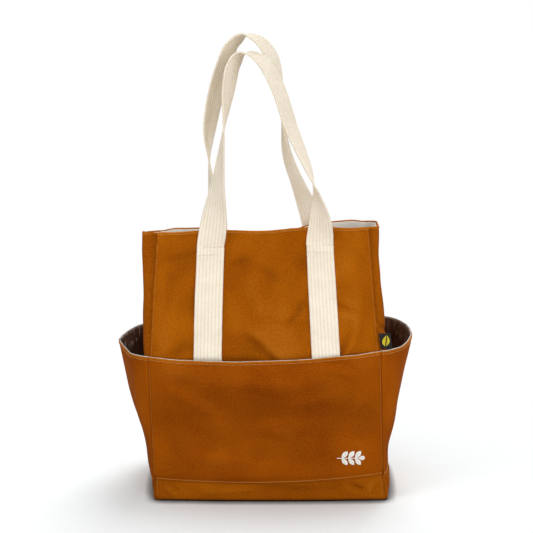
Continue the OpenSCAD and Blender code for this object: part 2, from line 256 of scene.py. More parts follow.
PANEL_CREASES = {
    FRONT: [
        (-4, 216, 140, 28, 6, -2.0), (42, 256, 50, 20, 5, -1.3), (100, 206, 58, 26, 4.5, -1.8),
        (98, 269, 157, 22, 5, -1.1), (112, 255, 160, 16, 5, 0.9), (-80, 224, 62, 16, 6, -1.1),
        (-34, 322, 18, 13, 4, -0.9), (4, 310, 150, 20, 6, -0.8), (20, 250, 172, 40, 8, -0.7),
        (-118, 214, 24, 20, 6, -1.0), (-112, 334, 8, 30, 5, -0.8), (122, 236, 75, 20, 6, 1.0),
        (60, 330, 145, 26, 7, 0.7), (-14, 280, 118, 26, 10, 0.7), (-128, 282, 82, 30, 6, -0.7),
        (-60, 14, 6, 36, 5, 1.0), (52, 16, 172, 40, 6, -0.9), (137, 15, 64, 13, 3.6, 3.4),
        (118, 20, 152, 13, 4, -2.2), (-136, 14, 116, 12, 4, 2.4),
    ],
    BACK: [
        (30, 236, 62, 28, 8, -1.8), (-62, 258, 150, 26, 7, 1.5), (96, 300, 110, 24, 7, -1.3),
        (-104, 318, 20, 26, 7, 1.2), (4, 300, 30, 30, 8, 1.1), (122, 244, 24, 20, 6, 1.5),
        (-124, 236, 55, 22, 7, -1.5), (-40, 18, 175, 38, 6, 1.4), (84, 20, 8, 30, 6, -1.3),
    ],
}
PANEL_FOLDS = (2.1, 0.9, 2.0)       # heights of slow and quick folds and of the creases


def panel_folds(facing, s, z):
    """Wrinkles of the big panels: stand-off outwards in millimetres."""
    slow, quick, crease = PANEL_FOLDS
    x = s * seam_x(z)
    room = panel_room(s, z)
    hidden = behind_pocket(z)
    calm = ease(room / 26) * ease((z - 3) / 22) * (1 - 0.8 * ease((z - 325) / 28))
    folds = slow * slow_cloth[facing](x, z) + quick * quick_cloth(x, z)
    folds = folds + crease * creases(x, z, PANEL_CREASES[facing])
    near_rim = bump(z, RIM_H - RIM_SAG - 6, 9) * 0.4
    near_seam = bump(room, 5, 7) * 0.45 * (1 - 0.8 * hidden)
    return folds * calm * (1 - 0.9 * hidden) + (near_rim + near_seam) * pucker(x, z)


def panel_pt(facing, s, z, inset):
    """Front or back panel: share s across, height z, depth inset below its outer face."""
    y = mix(middle_y(z), seam_y(z), s * s) - inset - seam_groove(panel_room(s, z))
    out = y - foot_curl(z) + panel_folds(facing, s, z)
    x = s * (seam_x(z) - inset - 0.15 - 0.35 * foot_curl(z))
    return settle(x, facing * out, z)


def rim_z(facing, s):
    """The rim dips between the straps and is held up where they are sewn."""
    if facing == BACK:
        return RIM_H - 10.0 * np.exp(-((s / 0.38) ** 4))
    return RIM_H - 1.8 * (1 - s**4) - 3.8 * bump(s, 0, 0.3) - bump(np.abs(s), 0.8, 0.12)


# how far a gusset stands out past its seams at the pocket rim and at the rim, how much its
# foot swells below the pocket's hem, and how squarely it is folded above the pocket
NOSE_LOW = {LEFT: 7.8, RIGHT: 9.0}
NOSE_HIGH = {LEFT: 18.5, RIGHT: 12.5}
FOOT_SWELL = {LEFT: 0.0, RIGHT: 3.0}
SQUARE = {LEFT: 12.0, RIGHT: 9.0}
GUSSET_FOLDS = (1.4, 0.45)
gusset_slow = {LEFT: ripples(21, 6, 60, 120, 1.8), RIGHT: ripples(26, 6, 60, 120, 1.8)}


def gusset_pt(side, s, z, inset):
    """Gusset: share s from the front seam (-1) to the back seam (1). Above the pocket it
    is folded square: in line with the panel for a little way, then straight back."""
    square = mix(2.0, SQUARE[side], ease((z - 150) / 60))
    nose = mix(NOSE_LOW[side], NOSE_HIGH[side], up(z)) * ease((z - 60) / 150)
    bulge = nose * (1 - np.abs(s) ** square)
    share = np.clip(z / HEM_H, 0, 1)
    profile = 0.6 + 0.4 * np.sin(np.pi / 2 * np.clip(1.6 * share, 0, 1))
    foot = pocket_flare(side, 0.0) * profile + FOOT_SWELL[side] * np.sin(np.pi * share)
    foot = foot * side_plan(side, np.arcsin(np.clip(s, -1, 1))) * ease(z / 3)
    bulge = mix(foot, bulge, ease((z - HEM_H - 14) / 30))
    depth = seam_y(z)
    y = s * depth
    room = depth * (1 - np.abs(s))
    calm = ease(room / 16) * ease((z - 4) / 30) * (1 - 0.6 * ease((z - 330) / 30))
    calm = calm * (1 - 0.6 * behind_pocket(z))
    slow, quick = GUSSET_FOLDS
    folds = (slow * gusset_slow[side](y, z) + quick * quick_cloth(y, z)) * calm
    # the pleats above the side pocket and beside the foot, and the fold down the middle
    pleat = 4.2 * bump(z + 0.5 * y, 206, 3.6) * bump(s, -0.85, 0.3) * (side == RIGHT)
    tuck = 4.5 * bump(y + 0.45 * z, -62, 4.5) * ease(z / 12) * ease((HEM_H - z) / 10)
    middle = 1.3 * bump(y, 0, 3.5) * ease((z - 90) / 90)
    x = seam_x(z) - inset + bulge - seam_groove(room) - foot_curl(z) + folds
    x = x - pleat - middle - tuck
    return settle(side * x, s * (depth - inset - 0.15 - 0.35 * foot_curl(z)), z)


# ---------------------------------------------------------------- the pocket band's shape
# flare of a side pocket at its rim and at its hem, the power of its curve between them, and
# the narrowing above the hem: depth, place up the pocket and spread
FLARE_TOP = {LEFT: 46.3, RIGHT: 49.0}
FLARE_FOOT = {LEFT: 9.5, RIGHT: 12.0}
FLARE_CURVE = {LEFT: 0.89, RIGHT: 1.1}
WAIST = {LEFT: (5.0, 0.25, 0.15), RIGHT: (9.0, 0.19, 0.13)}
# the power of the cosine in its plan, how much fuller it is at the back, and its scale
PLAN = {LEFT: (1.25, 0.2, 0.93), RIGHT: (0.92, 0.24, 0.95)}


def pocket_flare(side, share):
    flare = mix(FLARE_FOOT[side], FLARE_TOP[side], share ** FLARE_CURVE[side])
    depth, at, width = WAIST[side]
    return flare - depth * bump(share, at, width)


def side_plan(side, t):
    """Plan of a side pocket: its share of the flare at angle t round it."""
    power, back, scale = PLAN[side]
    return np.cos(t) ** power * (1 + back * np.sin(t)) * scale


def pocket_rim_z(s):
    return POCKET_H - POCKET_SAG * (1 - s * s)


def hem_z(s):
    return HEM_H - HEM_SAG * (1 - s * s)


def band_up(z):
    return np.clip((z - HEM_H) / (POCKET_H - HEM_H), 0, 1)


band_slow = {FRONT: ripples(31, 7, 80, 170, 0.8), BACK: ripples(36, 7, 80, 170, 0.8)}
side_slow = {LEFT: ripples(41, 6, 45, 100, 2.2), RIGHT: ripples(46, 6, 45, 100, 2.2)}
BAND_CREASES = {
    FRONT: [
        (-20, 172, 176, 60, 9, 1.2), (70, 160, 12, 40, 8, -1.1), (-100, 150, 150, 34, 9, 1.3),
        (120, 128, 70, 30, 8, 1.2), (-126, 96, 104, 30, 7, -1.2), (30, 108, 4, 60, 12, 1.0),
        (-40, 62, 172, 50, 9, 0.9), (96, 186, 160, 26, 6, 1.1),
    ],
    BACK: [
        (30, 170, 6, 56, 9, 1.2), (-80, 150, 165, 40, 9, -1.1), (104, 140, 40, 34, 9, 1.3),
        (-122, 110, 80, 30, 8, 1.2), (10, 90, 174, 60, 12, 1.0), (60, 60, 10, 46, 9, 0.9),
    ],
}
BAND_FOLDS = (1.7, 0.5, 1.6)
SIDE_FOLDS = (2.2, 0.5)
BAND_SEAM = 0.7             # depth of the groove at the band's ends


def rim_lift(y):
    """The pocket rim stands higher towards the back."""
    return 5.0 * ease((y + 10) / 90)


def band_folds(facing, s, z):
    slow, quick, crease = BAND_FOLDS
    x = s * seam_x(z)
    room = panel_room(s, z)
    folds = slow * band_slow[facing](x, z) + quick * quick_cloth(x + 400, z)
    folds = folds + crease * creases(x, z, BAND_CREASES[facing])
    folds = folds + 2.2 * bump(z, POCKET_H - 22, 14) - 1.6 * bump(z, HEM_H + 74, 34)
    folds = folds * ease(room / 30) * ease((z - HEM_H + 10) / 40)
    folds = folds + 0.3 * pucker(x, z) * bump(z, pocket_rim_z(s) - 6, 8)
    return folds + 0.35 * pucker(z, x) * bump(room, 4, 7)


def band_pt(facing, s, z, out):
    """Front or back of the pocket band; out is the stand-off from the body's face."""
    bulge = mix(PANEL_BULGE * foot_share(z), POCKET_BULGE, ease((z - 78) / 88)) * (1 - s * s)
    snug = 2.8 * bump(z, hem_z(s), 7)
    seam = BAND_SEAM * bump(panel_room(s, z), 0, 1.6)
    folds = np.maximum(band_folds(facing, s, z), -1.5)
    y = facing * (seam_y(z) + out + bulge + folds - snug - seam)
    return settle(s * seam_x(z), y, z + rim_lift(y) * band_up(z) * np.abs(s) ** 3)


def side_pt(side, turn, z, out):
    """Side pocket: turn runs from -90 at the front seam to 90 at the back one."""
    t = np.radians(turn)
    share = band_up(z)
    plan = side_plan(side, t)
    if side == LEFT:
        plan = plan + 0.05 * np.exp(-np.abs(turn - 6) / 9) * share
    arc = 82 * np.sin(t)
    slow, quick = SIDE_FOLDS
    folds = slow * side_slow[side](arc, z) + quick * quick_cloth(arc, z)
    folds = folds * np.cos(t) * ease((z - HEM_H + 8) / 40)
    folds = folds + 3.2 * bump(turn, -52, 13) * ease(share * 1.4)
    folds = folds + 0.35 * pucker(arc, z) * bump(z, POCKET_H - 6, 8) * np.cos(t)
    seam = BAND_SEAM * bump(90 - np.abs(turn), 0, 2.2)
    x = seam_x(z) + pocket_flare(side, share) * plan + np.maximum(folds, -3)
    x = x + (out - 2.0 * bump(z, HEM_H, 7)) * np.cos(t)
    y = (seam_y(z) + out - seam) * np.sin(t)
    return settle(side * x, y, z + rim_lift(y) * share)


# ---------------------------------------------------------------- meshes
# what a piece is made of: its material, the slot it may be swapped in, and its thickness
Look = namedtuple("Look", "material slot thickness", defaults=[0.0])


def add_object(name, data):
    obj = bpy.data.objects.new(name, data)
    bpy.context.scene.collection.objects.link(obj)
    return obj


def make_mesh(name, look, points, faces, weave, edge):
    """A mesh object from points in millimetres. weave holds each point's place on its
    cloth in millimetres, and edge its wear together with painted shade and painted highlights."""
    mesh = bpy.data.meshes.new(name)
    mesh.from_pydata((np.asarray(points) * MM).tolist(), [], faces)
    mesh.polygons.foreach_set("use_smooth", [True] * len(mesh.polygons))
    flat = np.zeros((len(points), 3), np.float32)
    flat[:, :2] = weave
    data = mesh.attributes.new("weave", "FLOAT_VECTOR", "POINT").data
    data.foreach_set("vector", (flat * MM).ravel())
    # wear, together with painted shade and painted highlights, for the materials to read
    data = mesh.attributes.new("wear_and_painted_light", "FLOAT", "POINT").data
    data.foreach_set("value", np.asarray(edge, np.float32))
    mesh.validate()
    mesh.update()
    mesh.materials.append(look.material)
    obj = add_object(name, mesh)
    return obj


def ring_faces(rings, sides, shift=0, flip=False):
    faces = []
    for i in range(shift, shift + (rings - 1) * sides, sides):
        for j in range(sides):
            k = (j + 1) % sides
            quad = (i + j, i + k, i + sides + k, i + sides + j)
            faces.append(quad[::-1] if flip else quad)
    return faces


def tube_faces(rings, sides, shift=0):
    """A tube of rings, closed at both ends."""
    end = shift + (rings - 1) * sides
    return ring_faces(rings, sides, shift) + [
        tuple(range(shift, shift + sides))[::-1], tuple(range(end, end + sides))]


def surface_normals(p):
    """Unit normals of a grid of points, pointing along (first step) x (second step)."""
    return unit(np.cross(np.gradient(p, axis=0), np.gradient(p, axis=1)))


def sheet(name, look, face, out_sign, weave, wear_and_painted_light=0.0, nodes=()):
    """Cloth of real thickness: face is the grid of its outer side. The inner side follows
    the normals, and all four edges are rounded over."""
    n = surface_normals(face) * out_sign
    half = look.thickness / 2
    mid = face - n * half
    nu, nv = face.shape[:2]
    # one ring round the cloth: up its face, over the top, down its back and round the foot
    order = [*range(nv)] + [nv - 1] * 3 + [*range(nv)][::-1] + [0] * 3
    turn = np.radians([90] * nv + [45, 0, -45] + [-90] * nv + [-135, 180, 135])[:, None]
    up_dir = unit(np.gradient(mid, axis=1))[:, order]
    side = unit(np.gradient(mid, axis=0))[:, order]
    centre = mid[:, order]
    points = centre + half * (n[:, order] * np.sin(turn) + up_dir * np.cos(turn))
    edge = np.broadcast_to(wear_and_painted_light, (nu, nv))[:, order]
    # the rounded-over edges get a high value: worn paler on canvas, and a painted highlight on
    # the coated lining
    edge = np.where(np.abs(np.sin(turn[:, 0])) < 0.9, np.maximum(edge, 0.9), edge)
    # a narrower ring at each end rounds the two remaining edges
    rows = [0, *range(nu), nu - 1]
    first = mix(centre[0], points[0], 0.55) - side[0] * half * 0.8
    last = mix(centre[-1], points[-1], 0.55) + side[-1] * half * 0.8
    points = np.concatenate([first[None], points, last[None]])
    ring = len(order)
    faces = ring_faces(nu + 2, ring, flip=out_sign < 0)
    for base, far in ((0, False), ((nu + 1) * ring, True)):
        caps = [(j, j + 1, 2 * nv + 1 - j, 2 * nv + 2 - j) for j in range(nv - 1)]
        caps += [[(start + k) % ring for k in range(5)] for start in (nv - 1, 2 * nv + 2)]
        for cap in caps:
            cap = [base + k for k in cap]
            faces.append(cap[::-1] if far == (out_sign < 0) else cap)
    obj = make_mesh(name, look, points.reshape(-1, 3), faces,
                    weave[:, order][rows].reshape(-1, 2), edge[rows].ravel())
    if nodes:
        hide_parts(*nodes)
    return obj


def panel_grid(low, high, height, step=3.0):
    """Shares across and heights for a panel, about step millimetres apart."""
    s = np.linspace(-1, 1, int(2 * HALF_W / step) + 1)[:, None]
    rise = np.linspace(0, 1, int(height / step) + 1)[None, :]
    return np.broadcast_arrays(s, mix(low(s), high(s), rise))


def across_up(u, v):
    return np.stack(np.broadcast_arrays(u, v), -1)


# ---------------------------------------------------------------- materials
def srgb(r, g, b):
    def one(c):
        c = c / 255
        return c / 12.92 if c <= 0.04045 else ((c + 0.055) / 1.055) ** 2.4

    return (one(r), one(g), one(b), 1.0)


CLEAR_BLACK = (0, 0, 0, 1)
PURE_WHITE = (1, 1, 1, 1)


class Shader:
    """A short way to wire up a Principled material."""

    def __init__(self, name):
        self.material = bpy.data.materials.new(name)
        self.material.use_nodes = True
        self.tree = self.material.node_tree
        self.bsdf = self.tree.nodes["Principled BSDF"]

    def feed(self, socket, value):
        """Sets a socket to a plain value, or links another node's output to it."""
        if isinstance(value, (int, float, tuple)):
            socket.default_value = value
        else:
            self.tree.links.new(value, socket)

    def node(self, kind, **values):
        """A node with its settings and its inputs, whose spaces are written as _."""
        node = self.tree.nodes.new(kind)
        for key, value in values.items():
            if hasattr(node, key):
                setattr(node, key, value)
            else:
                self.feed(node.inputs[key.replace("_", " ")], value)
        return node

    def attribute(self, name, output):
        return self.node("ShaderNodeAttribute", attribute_name=name).outputs[output]

    def maths(self, operation, *values):
        node = self.node("ShaderNodeMath", operation=operation)
        for socket, value in zip(node.inputs, values):
            self.feed(socket, value)
        return node.outputs[0]

    def times(self, a, b):
        return self.maths("MULTIPLY", a, b)

    def plus(self, a, b):
        return self.maths("ADD", a, b)

    def cycles(self, place_of, pitch):
        """Turns a place in metres into an angle that goes round once in each pitch."""
        return self.times(place_of, 2 * math.pi / pitch)

    def split(self, vector):
        return self.node("ShaderNodeSeparateXYZ", Vector=vector).outputs

    def noise(self, vector, scale, detail=3.0, stretch=(1, 1, 1), rough=0.55):
        mapping = self.node("ShaderNodeMapping", Scale=stretch, Vector=vector)
        return self.node("ShaderNodeTexNoise", Scale=scale, Detail=detail, Roughness=rough,
                         Vector=mapping.outputs[0]).outputs["Fac"]

    def ramp(self, factor, *stops):
        """Colours for two values of a factor; each stop is a value and its colour."""
        node = self.node("ShaderNodeValToRGB")
        for element, (position, colour) in zip(node.color_ramp.elements, stops):
            element.position = position
            element.color = colour
        self.feed(node.inputs[0], factor)
        return node.outputs[0]

    def blend(self, factor, a, b):
        node = self.node("ShaderNodeMix", data_type="RGBA")
        for socket, value in ((0, factor), (6, a), (7, b)):
            self.feed(node.inputs[socket], value)
        return node.outputs[2]

    def thread_height(self, vector, pitch_u, pitch_v):
        """Height of a plain weave whose threads are pitch apart, in metres."""
        places = self.split(vector)
        u = self.maths("SINE", self.cycles(places[0], pitch_u))
        v = self.maths("SINE", self.cycles(places[1], pitch_v))
        return self.plus(self.times(u, v), self.maths("MAXIMUM", u, v))

    def bump(self, height, distance, strength, **before):
        return self.node("ShaderNodeBump", Strength=strength, Distance=distance,
                         Height=height, **before).outputs[0]

    def finish(self, colour, rough, **inputs):
        self.feed(self.bsdf.inputs["Base Color"], colour)
        self.feed(self.bsdf.inputs["Roughness"], rough)
        for name, value in inputs.items():
            self.feed(self.bsdf.inputs[name.replace("_", " ")], value)
        return self.material


def woven(name):
    """A new shader, and its cloth's own two directions in metres."""
    s = Shader(name)
    return s, s.attribute("weave", "Vector")


# the pale of worn canvas, also used as a painted highlight on fold ridges, and the dark of
# painted shade
RUST_WORN_AND_LIT = srgb(190, 116, 30)
RUST_PAINTED_SHADE = srgb(76, 32, 0)


def canvas(name, light, dark):
    """Cotton canvas: cloudy colour, a plain weave, paler worn edges and fold ridges (partly
    a painted highlight), and painted shade in its seams and fold valleys.
    """
    s, weave = woven(name)
    clouds = s.noise(weave, 10.0)
    nap = s.noise(weave, 260.0, 3.0, (1, 1, 1), 0.6)
    grain = s.noise(weave, 620.0, 1.0, (1, 1, 1), 0.5)
    tone = s.plus(s.plus(s.times(clouds, 0.4), s.times(nap, 0.16)), s.times(grain, 0.44))
    colour = s.ramp(tone, (0.38, dark), (0.62, light))
    # values above zero make worn edges and fold ridges paler, the ridges partly as a painted
    # highlight; values below zero are painted shade in seams, stitch dents, fold valleys and the
    # band's belly
    wear_and_painted_light = s.attribute("wear_and_painted_light", "Fac")
    pale = s.times(s.maths("MAXIMUM", wear_and_painted_light, 0.0), s.plus(nap, 0.1))
    shade = s.maths("MAXIMUM", s.times(wear_and_painted_light, -0.8), 0.0)
    colour = s.blend(shade, s.blend(pale, colour, RUST_WORN_AND_LIT), RUST_PAINTED_SHADE)
    slubs = s.plus(s.noise(weave, 90.0, 2.0, (0.25, 9, 1)),
                   s.noise(weave, 90.0, 2.0, (9, 0.25, 1)))
    height = s.plus(s.thread_height(weave, 0.0011, 0.0012), slubs)
    normal = s.bump(nap, 0.0004, 0.3, Normal=s.bump(height, 0.00012, 0.5))
    return Look(s.finish(colour, 0.85, Normal=normal, Specular_IOR_Level=0.04),
                "canvas", CANVAS_T)


def cotton_lining():
    """Plain off-white cotton lining."""
    s, weave = woven("main_lining_cotton")
    colour = s.ramp(s.noise(weave, 22.0, 4.0),
                    (0.35, srgb(222, 216, 206)), (0.65, srgb(244, 240, 232)))
    normal = s.bump(s.thread_height(weave, 0.0007, 0.0007), 0.00006, 0.6)
    normal = s.bump(s.noise(weave, 60.0, 3.0, (1, 0.5, 1)), 0.002, 0.5, Normal=normal)
    return Look(s.finish(colour, 0.85, Normal=normal, Specular_IOR_Level=0.1),
                "main_lining", LINING_T)


def coated_lining():
    """Dark coated pocket lining with a satin face, small creases and a painted silver
    highlight on its gathers.
    """
    s, weave = woven("pocket_lining_coated")
    clouds = s.noise(weave, 26.0, 4.0)
    colour = s.ramp(clouds, (0.35, srgb(66, 46, 34)), (0.68, srgb(104, 80, 64)))
    wrinkles = s.noise(weave, 48.0, 4.0, (1.5, 0.5, 1), 0.6)
    gathers = s.noise(weave, 110.0, 2.0, (1.5, 0.6, 1), 0.5)
    # painted highlight: silver on the crests of the gathers, where the mesh's value marks them
    crests = s.ramp(gathers, (0.57, CLEAR_BLACK), (0.66, PURE_WHITE))
    shine = s.times(s.attribute("wear_and_painted_light", "Fac"), crests)
    colour = s.blend(shine, colour, srgb(196, 190, 180))
    normal = s.bump(gathers, 0.002, 0.5, Normal=s.bump(wrinkles, 0.004, 0.55))
    normal = s.bump(s.thread_height(weave, 0.0008, 0.0008), 0.00004, 0.4, Normal=normal)
    rough = s.plus(s.times(clouds, 0.18), 0.28)
    return Look(s.finish(colour, rough, Normal=normal, Specular_IOR_Level=0.55),
                "coated_lining", LINING_T)


PICK_PITCH = 0.0026         # metres from one pick of the webbing to the next


def ribbed_webbing():
    """Ribbed cotton webbing: fine picks across the ribs, and painted shade in the grooves,
    dotted along the picks.
    """
    s, weave = woven("handle_webbing")
    groove = s.attribute("wear_and_painted_light", "Fac")
    fibre = s.noise(weave, 420.0, 2.0, (1, 0.5, 1))
    tone = s.plus(s.times(s.noise(weave, 30.0, 4.0), 0.6), s.times(fibre, 0.4))
    colour = s.ramp(tone, (0.3, srgb(226, 214, 193)), (0.66, srgb(240, 232, 216)))
    # painted shade in the rib grooves, broken into dots by the picks
    picks = s.maths("SINE", s.cycles(s.split(weave)[1], PICK_PITCH))
    dotted = s.plus(s.times(picks, 0.25), 0.35)
    colour = s.blend(s.times(groove, dotted), colour, srgb(188, 164, 130))
    normal = s.bump(s.thread_height(weave, 0.0024, 0.0024), 0.00012, 0.5)
    normal = s.bump(fibre, 0.0002, 0.3, Normal=normal)
    return Look(s.finish(colour, 0.85, Normal=normal, Specular_IOR_Level=0.1,
                         Sheen_Weight=0.05, Sheen_Tint=srgb(255, 246, 228)), "webbing")


TWIST = 0.0009              # metres from one turn of a thread's ply to the next


def thread(name, colour_a, colour_b):
    """Twisted sewing thread with a slight sheen."""
    s, weave = woven(name)
    run, wound = s.split(weave)[:2]
    height = s.maths("SINE", s.plus(s.cycles(run, TWIST), s.cycles(wound, TWIST)))
    tone = s.plus(s.times(height, 0.16), s.noise(weave, 500.0, 2.0))
    colour = s.ramp(tone, (0.35, colour_a), (0.65, colour_b))
    return Look(s.finish(colour, 0.7, Normal=s.bump(height, 0.0001, 0.6),
                         Specular_IOR_Level=0.1), "thread")


def tape(name, slot, light, dark, thickness=0.0):
    s, weave = woven(name)
    colour = s.ramp(s.noise(weave, 300.0), (0.35, dark), (0.65, light))
    normal = s.bump(s.thread_height(weave, 0.0009, 0.0009), 0.0001, 0.8)
    return Look(s.finish(colour, 0.75, Normal=normal, Sheen_Weight=0.1,
                         Specular_IOR_Level=0.25), slot, thickness)


def nickel():
    """Nickel-plated steel with fine turning marks and a few dull spots."""
    s = Shader("snap_nickel")
    place_of = s.node("ShaderNodeTexCoord").outputs["Object"]
    marks = s.noise(place_of, 900.0, 2.0, (1, 14, 1))
    dull = s.noise(place_of, 120.0, 4.0)
    colour = s.ramp(dull, (0.3, srgb(150, 149, 147)), (0.7, srgb(204, 203, 200)))
    rough = s.plus(s.times(dull, 0.25), 0.2)
    return s.finish(colour, rough, Normal=s.bump(marks, 0.00005, 0.5), Metallic=1.0)


def fibreboard():
    s = Shader("stiffener_board")
    place_of = s.node("ShaderNodeTexCoord").outputs["Object"]
    fibre = s.noise(place_of, 260.0, 5.0, (1, 3, 1), 0.7)
    colour = s.ramp(fibre, (0.35, srgb(104, 92, 78)), (0.68, srgb(158, 144, 124)))
    return s.finish(colour, 0.9, Normal=s.bump(fibre, 0.0003, 0.6))


CANVAS = canvas("rust_canvas", srgb(168, 91, 4), srgb(130, 62, 0))
# darker copies of the same canvas: painted shade on the pocket band, and deeper painted shade for
# the turned corner seams
SHADED_BAND_CANVAS = canvas("rust_canvas_band_shaded", srgb(164, 83, 3), srgb(126, 55, 0))
SHADED_SEAM_CANVAS = canvas("rust_canvas_seam_shaded", srgb(146, 74, 2), srgb(110, 50, 0))
LINING = cotton_lining()
COATED = coated_lining()
WEBBING = ribbed_webbing()
THREAD = thread("topstitch_thread", srgb(200, 140, 66), srgb(226, 176, 104))
SEAM_THREAD = thread("seam_thread", srgb(176, 108, 40), srgb(208, 144, 76))
SPRIG_THREAD = thread("sprig_thread", srgb(253, 249, 240), srgb(255, 254, 250))
PALE_THREAD = thread("cream_thread", srgb(244, 234, 214), srgb(255, 250, 238))
DARK_THREAD = thread("lining_thread", srgb(92, 76, 58), srgb(150, 134, 112))
TAPE = tape("rim_tape", "rim_binding", srgb(206, 203, 194), srgb(160, 156, 146))
LABEL = tape("label_black", "label", srgb(34, 32, 30), srgb(14, 13, 12), LABEL_T)
LEAF = tape("label_yellow", "label", srgb(232, 214, 52), srgb(204, 184, 30))


# ---------------------------------------------------------------- body of the bag
RIM_STITCH = 2.6            # distances of the stitch lines from their edges
SEAM_STITCH = 4.0
POCKET_STITCH = 3.0
HEM_STITCH = 1.9
FOLD_PAINTED_LIGHT = 0.11            # how much each millimetre of a fold changes the colour: painted shade in its valleys, and a paler ridge, partly wear and partly a painted highlight
BASE_LINING_Z = 8.0
LINING_STEP = 4.0
LINING_EDGE = 2.5           # the lining's edge stops this far inside the corner seam
SEAM_R = 1.2
SEAM_INSET = 2.1
SEAM_END = 5.0              # the corner seams end this far below the rim


def blend(obj):
    """Bakes a piece's transform into its mesh."""
    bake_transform(obj)


def bend_at_pocket(obj):
    """Cloth of the body below the pocket rim and of the opening panel above it; its transform
    is baked into its mesh.
    """
    blend(obj)


def bend_gusset(obj):
    """Half a gusset, whose seam is sewn to a panel along the sloping corner seam; its
    transform is baked into its mesh."""
    blend(obj)


def seam_wear_and_shade(rim_gap, room, folds, stitched=1.0):
    """Paler along a worn rim and on raised folds, partly as a painted highlight; painted shade
    in a seam, along its stitching, in the rim's stitch dent and in fold valleys.
    """
    pale = 0.7 * bump(rim_gap, 0, 1.8)
    # painted shade in the seam groove, along the seam's stitching and along the rim's stitch dent
    dark = 0.4 * bump(room, 0, 1.2) + 0.14 * stitched * bump(room, SEAM_STITCH, 1.3)
    dark = dark + 0.15 * bump(rim_gap, RIM_STITCH, 1.2)
    return np.clip(pale - dark + FOLD_PAINTED_LIGHT * folds, -1, 1)


def body_panel(facing):
    word = WORD[facing]
    s, z = panel_grid(lambda s: 0.0, lambda s: rim_z(facing, s), RIM_H)
    wear_and_painted_light = seam_wear_and_shade(rim_z(facing, s) - z, panel_room(s, z), panel_folds(facing, s, z))
    obj = sheet(f"canvas_{word}", CANVAS, panel_pt(facing, s, z, 0), -facing,
                across_up(s * HALF_W, z), wear_and_painted_light, [f"{word}_panel_lower", f"{word}_panel_upper"])
    bend_at_pocket(obj)


def body_lining(facing):
    word = WORD[facing]
    s, z = panel_grid(lambda s: BASE_LINING_Z, lambda s: rim_z(facing, s) - 1.4, RIM_H,
                      LINING_STEP)
    x = s * seam_x(z)
    loose = 0.7 * quick_cloth(x * 1.4, z) * ease((RIM_H - z) / 30)
    outer = panel_pt(facing, s * (1 - LINING_EDGE / seam_x(z)), z, 0)
    slant = np.maximum(np.abs(surface_normals(outer)[..., 1]), 0.6)
    depth = (lining_depth(z) + np.abs(loose)) / slant
    obj = sheet(f"lining_{word}", LINING, outer - np.array([0.0, facing, 0.0]) * depth[..., None],
                -facing, across_up(x, z), 0.0, [f"{word}_lining_lower", f"{word}_lining_upper"])
    bend_at_pocket(obj)


def gusset_half(side, facing, look):
    """Half a gusset, from its middle fold to one corner seam."""
    word = SIDE[side]
    inner = look is LINING
    share = np.sin(np.linspace(0, np.pi / 2, int(HALF_D / 3) + 1))[:, None]
    s = share if facing == BACK else -share[::-1]
    low, high = (BASE_LINING_Z, RIM_H - 1.6) if inner else (0.0, RIM_H)
    s, z = np.broadcast_arrays(s, np.linspace(low, high, int(RIM_H / 3) + 1)[None, :])
    face = gusset_pt(side, s, z, lining_depth(z) if inner else 0.0)
    wear_and_painted_light = seam_wear_and_shade(RIM_H - z, seam_y(z) * (1 - np.abs(s)), 0, stitched=0.0)
    node = f"{word}_gusset_lining" if inner else f"{word}_gusset"
    obj = sheet(f"{'lining' if inner else 'canvas'}_{word}_{WORD[facing]}", look, face, side,
                across_up(s * HALF_D + 500, z), wear_and_painted_light, [node] if facing == FRONT else [])
    bend_gusset(obj)


def base_sheet(name, look, z, inset, node, hump):
    """Cloth across the bottom, slightly crowned where nothing holds it down."""
    u = np.linspace(-1, 1, 90)[:, None]
    v = np.linspace(-1, 1, 48)[None, :]
    x = u * (HALF_W + FOOT_SPREAD - inset) * np.ones_like(v)
    y = v * (HALF_D - inset + PANEL_BULGE * foot_share(0.0) * (1 - u * u))
    rise = hump * (1 - u**4) * (1 - v**4) + 0.25 * quick_cloth(x, y) * (hump > 0)
    face = np.stack([x, y, z + look.thickness + rise], -1)
    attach(sheet(name, look, face, 1, across_up(x, y), 0.0, [node]), "bag")


for facing in (FRONT, BACK):
    body_panel(facing)
    body_lining(facing)
for side in (LEFT, RIGHT):
    for facing in (FRONT, BACK):
        gusset_half(side, facing, CANVAS)
        gusset_half(side, facing, LINING)
base_sheet("canvas_base", CANVAS, 0.0, 5.0, "base_panel", 0.0)
base_sheet("lining_base", LINING, BASE_LINING_Z, 7.5, "base_lining", 0.8)


# ---------------------------------------------------------------- pocket band
SIDE_ARC = 125.0            # half the length of a side pocket round its curve
SIDE_END = 89.5             # the last angle round it
GATHER_SHINE = {LEFT: 0.95, RIGHT: 0.35}    # how strongly the painted highlight shows on the linings' gathers


def press_with(obj, side):
    """A side pocket piece, held at its two corner seams; its transform is baked into its mesh."""
    foot = settle(side * seam_x(HEM_H), 0.0, HEM_H)
    seam = unit(settle(side * seam_x(POCKET_H), 0.0, POCKET_H) - foot)
    blend(obj)


def band_wear_and_shade(rim_gap, hem_gap, room, folds):
    # worn paler at the rim and the hem; painted shade along the rim's stitch line, in the end
    # seams and in fold valleys, and a paler fold ridge, partly a painted highlight
    pale = 0.6 * bump(rim_gap, 0, 1.6) + 0.25 * bump(hem_gap, 0, 1.2)
    dark = 0.15 * bump(rim_gap, POCKET_STITCH, 1.2) + 0.3 * bump(room, 0, 1.5)
    return np.clip(pale - dark + 0.4 * FOLD_PAINTED_LIGHT * folds, -1, 1)


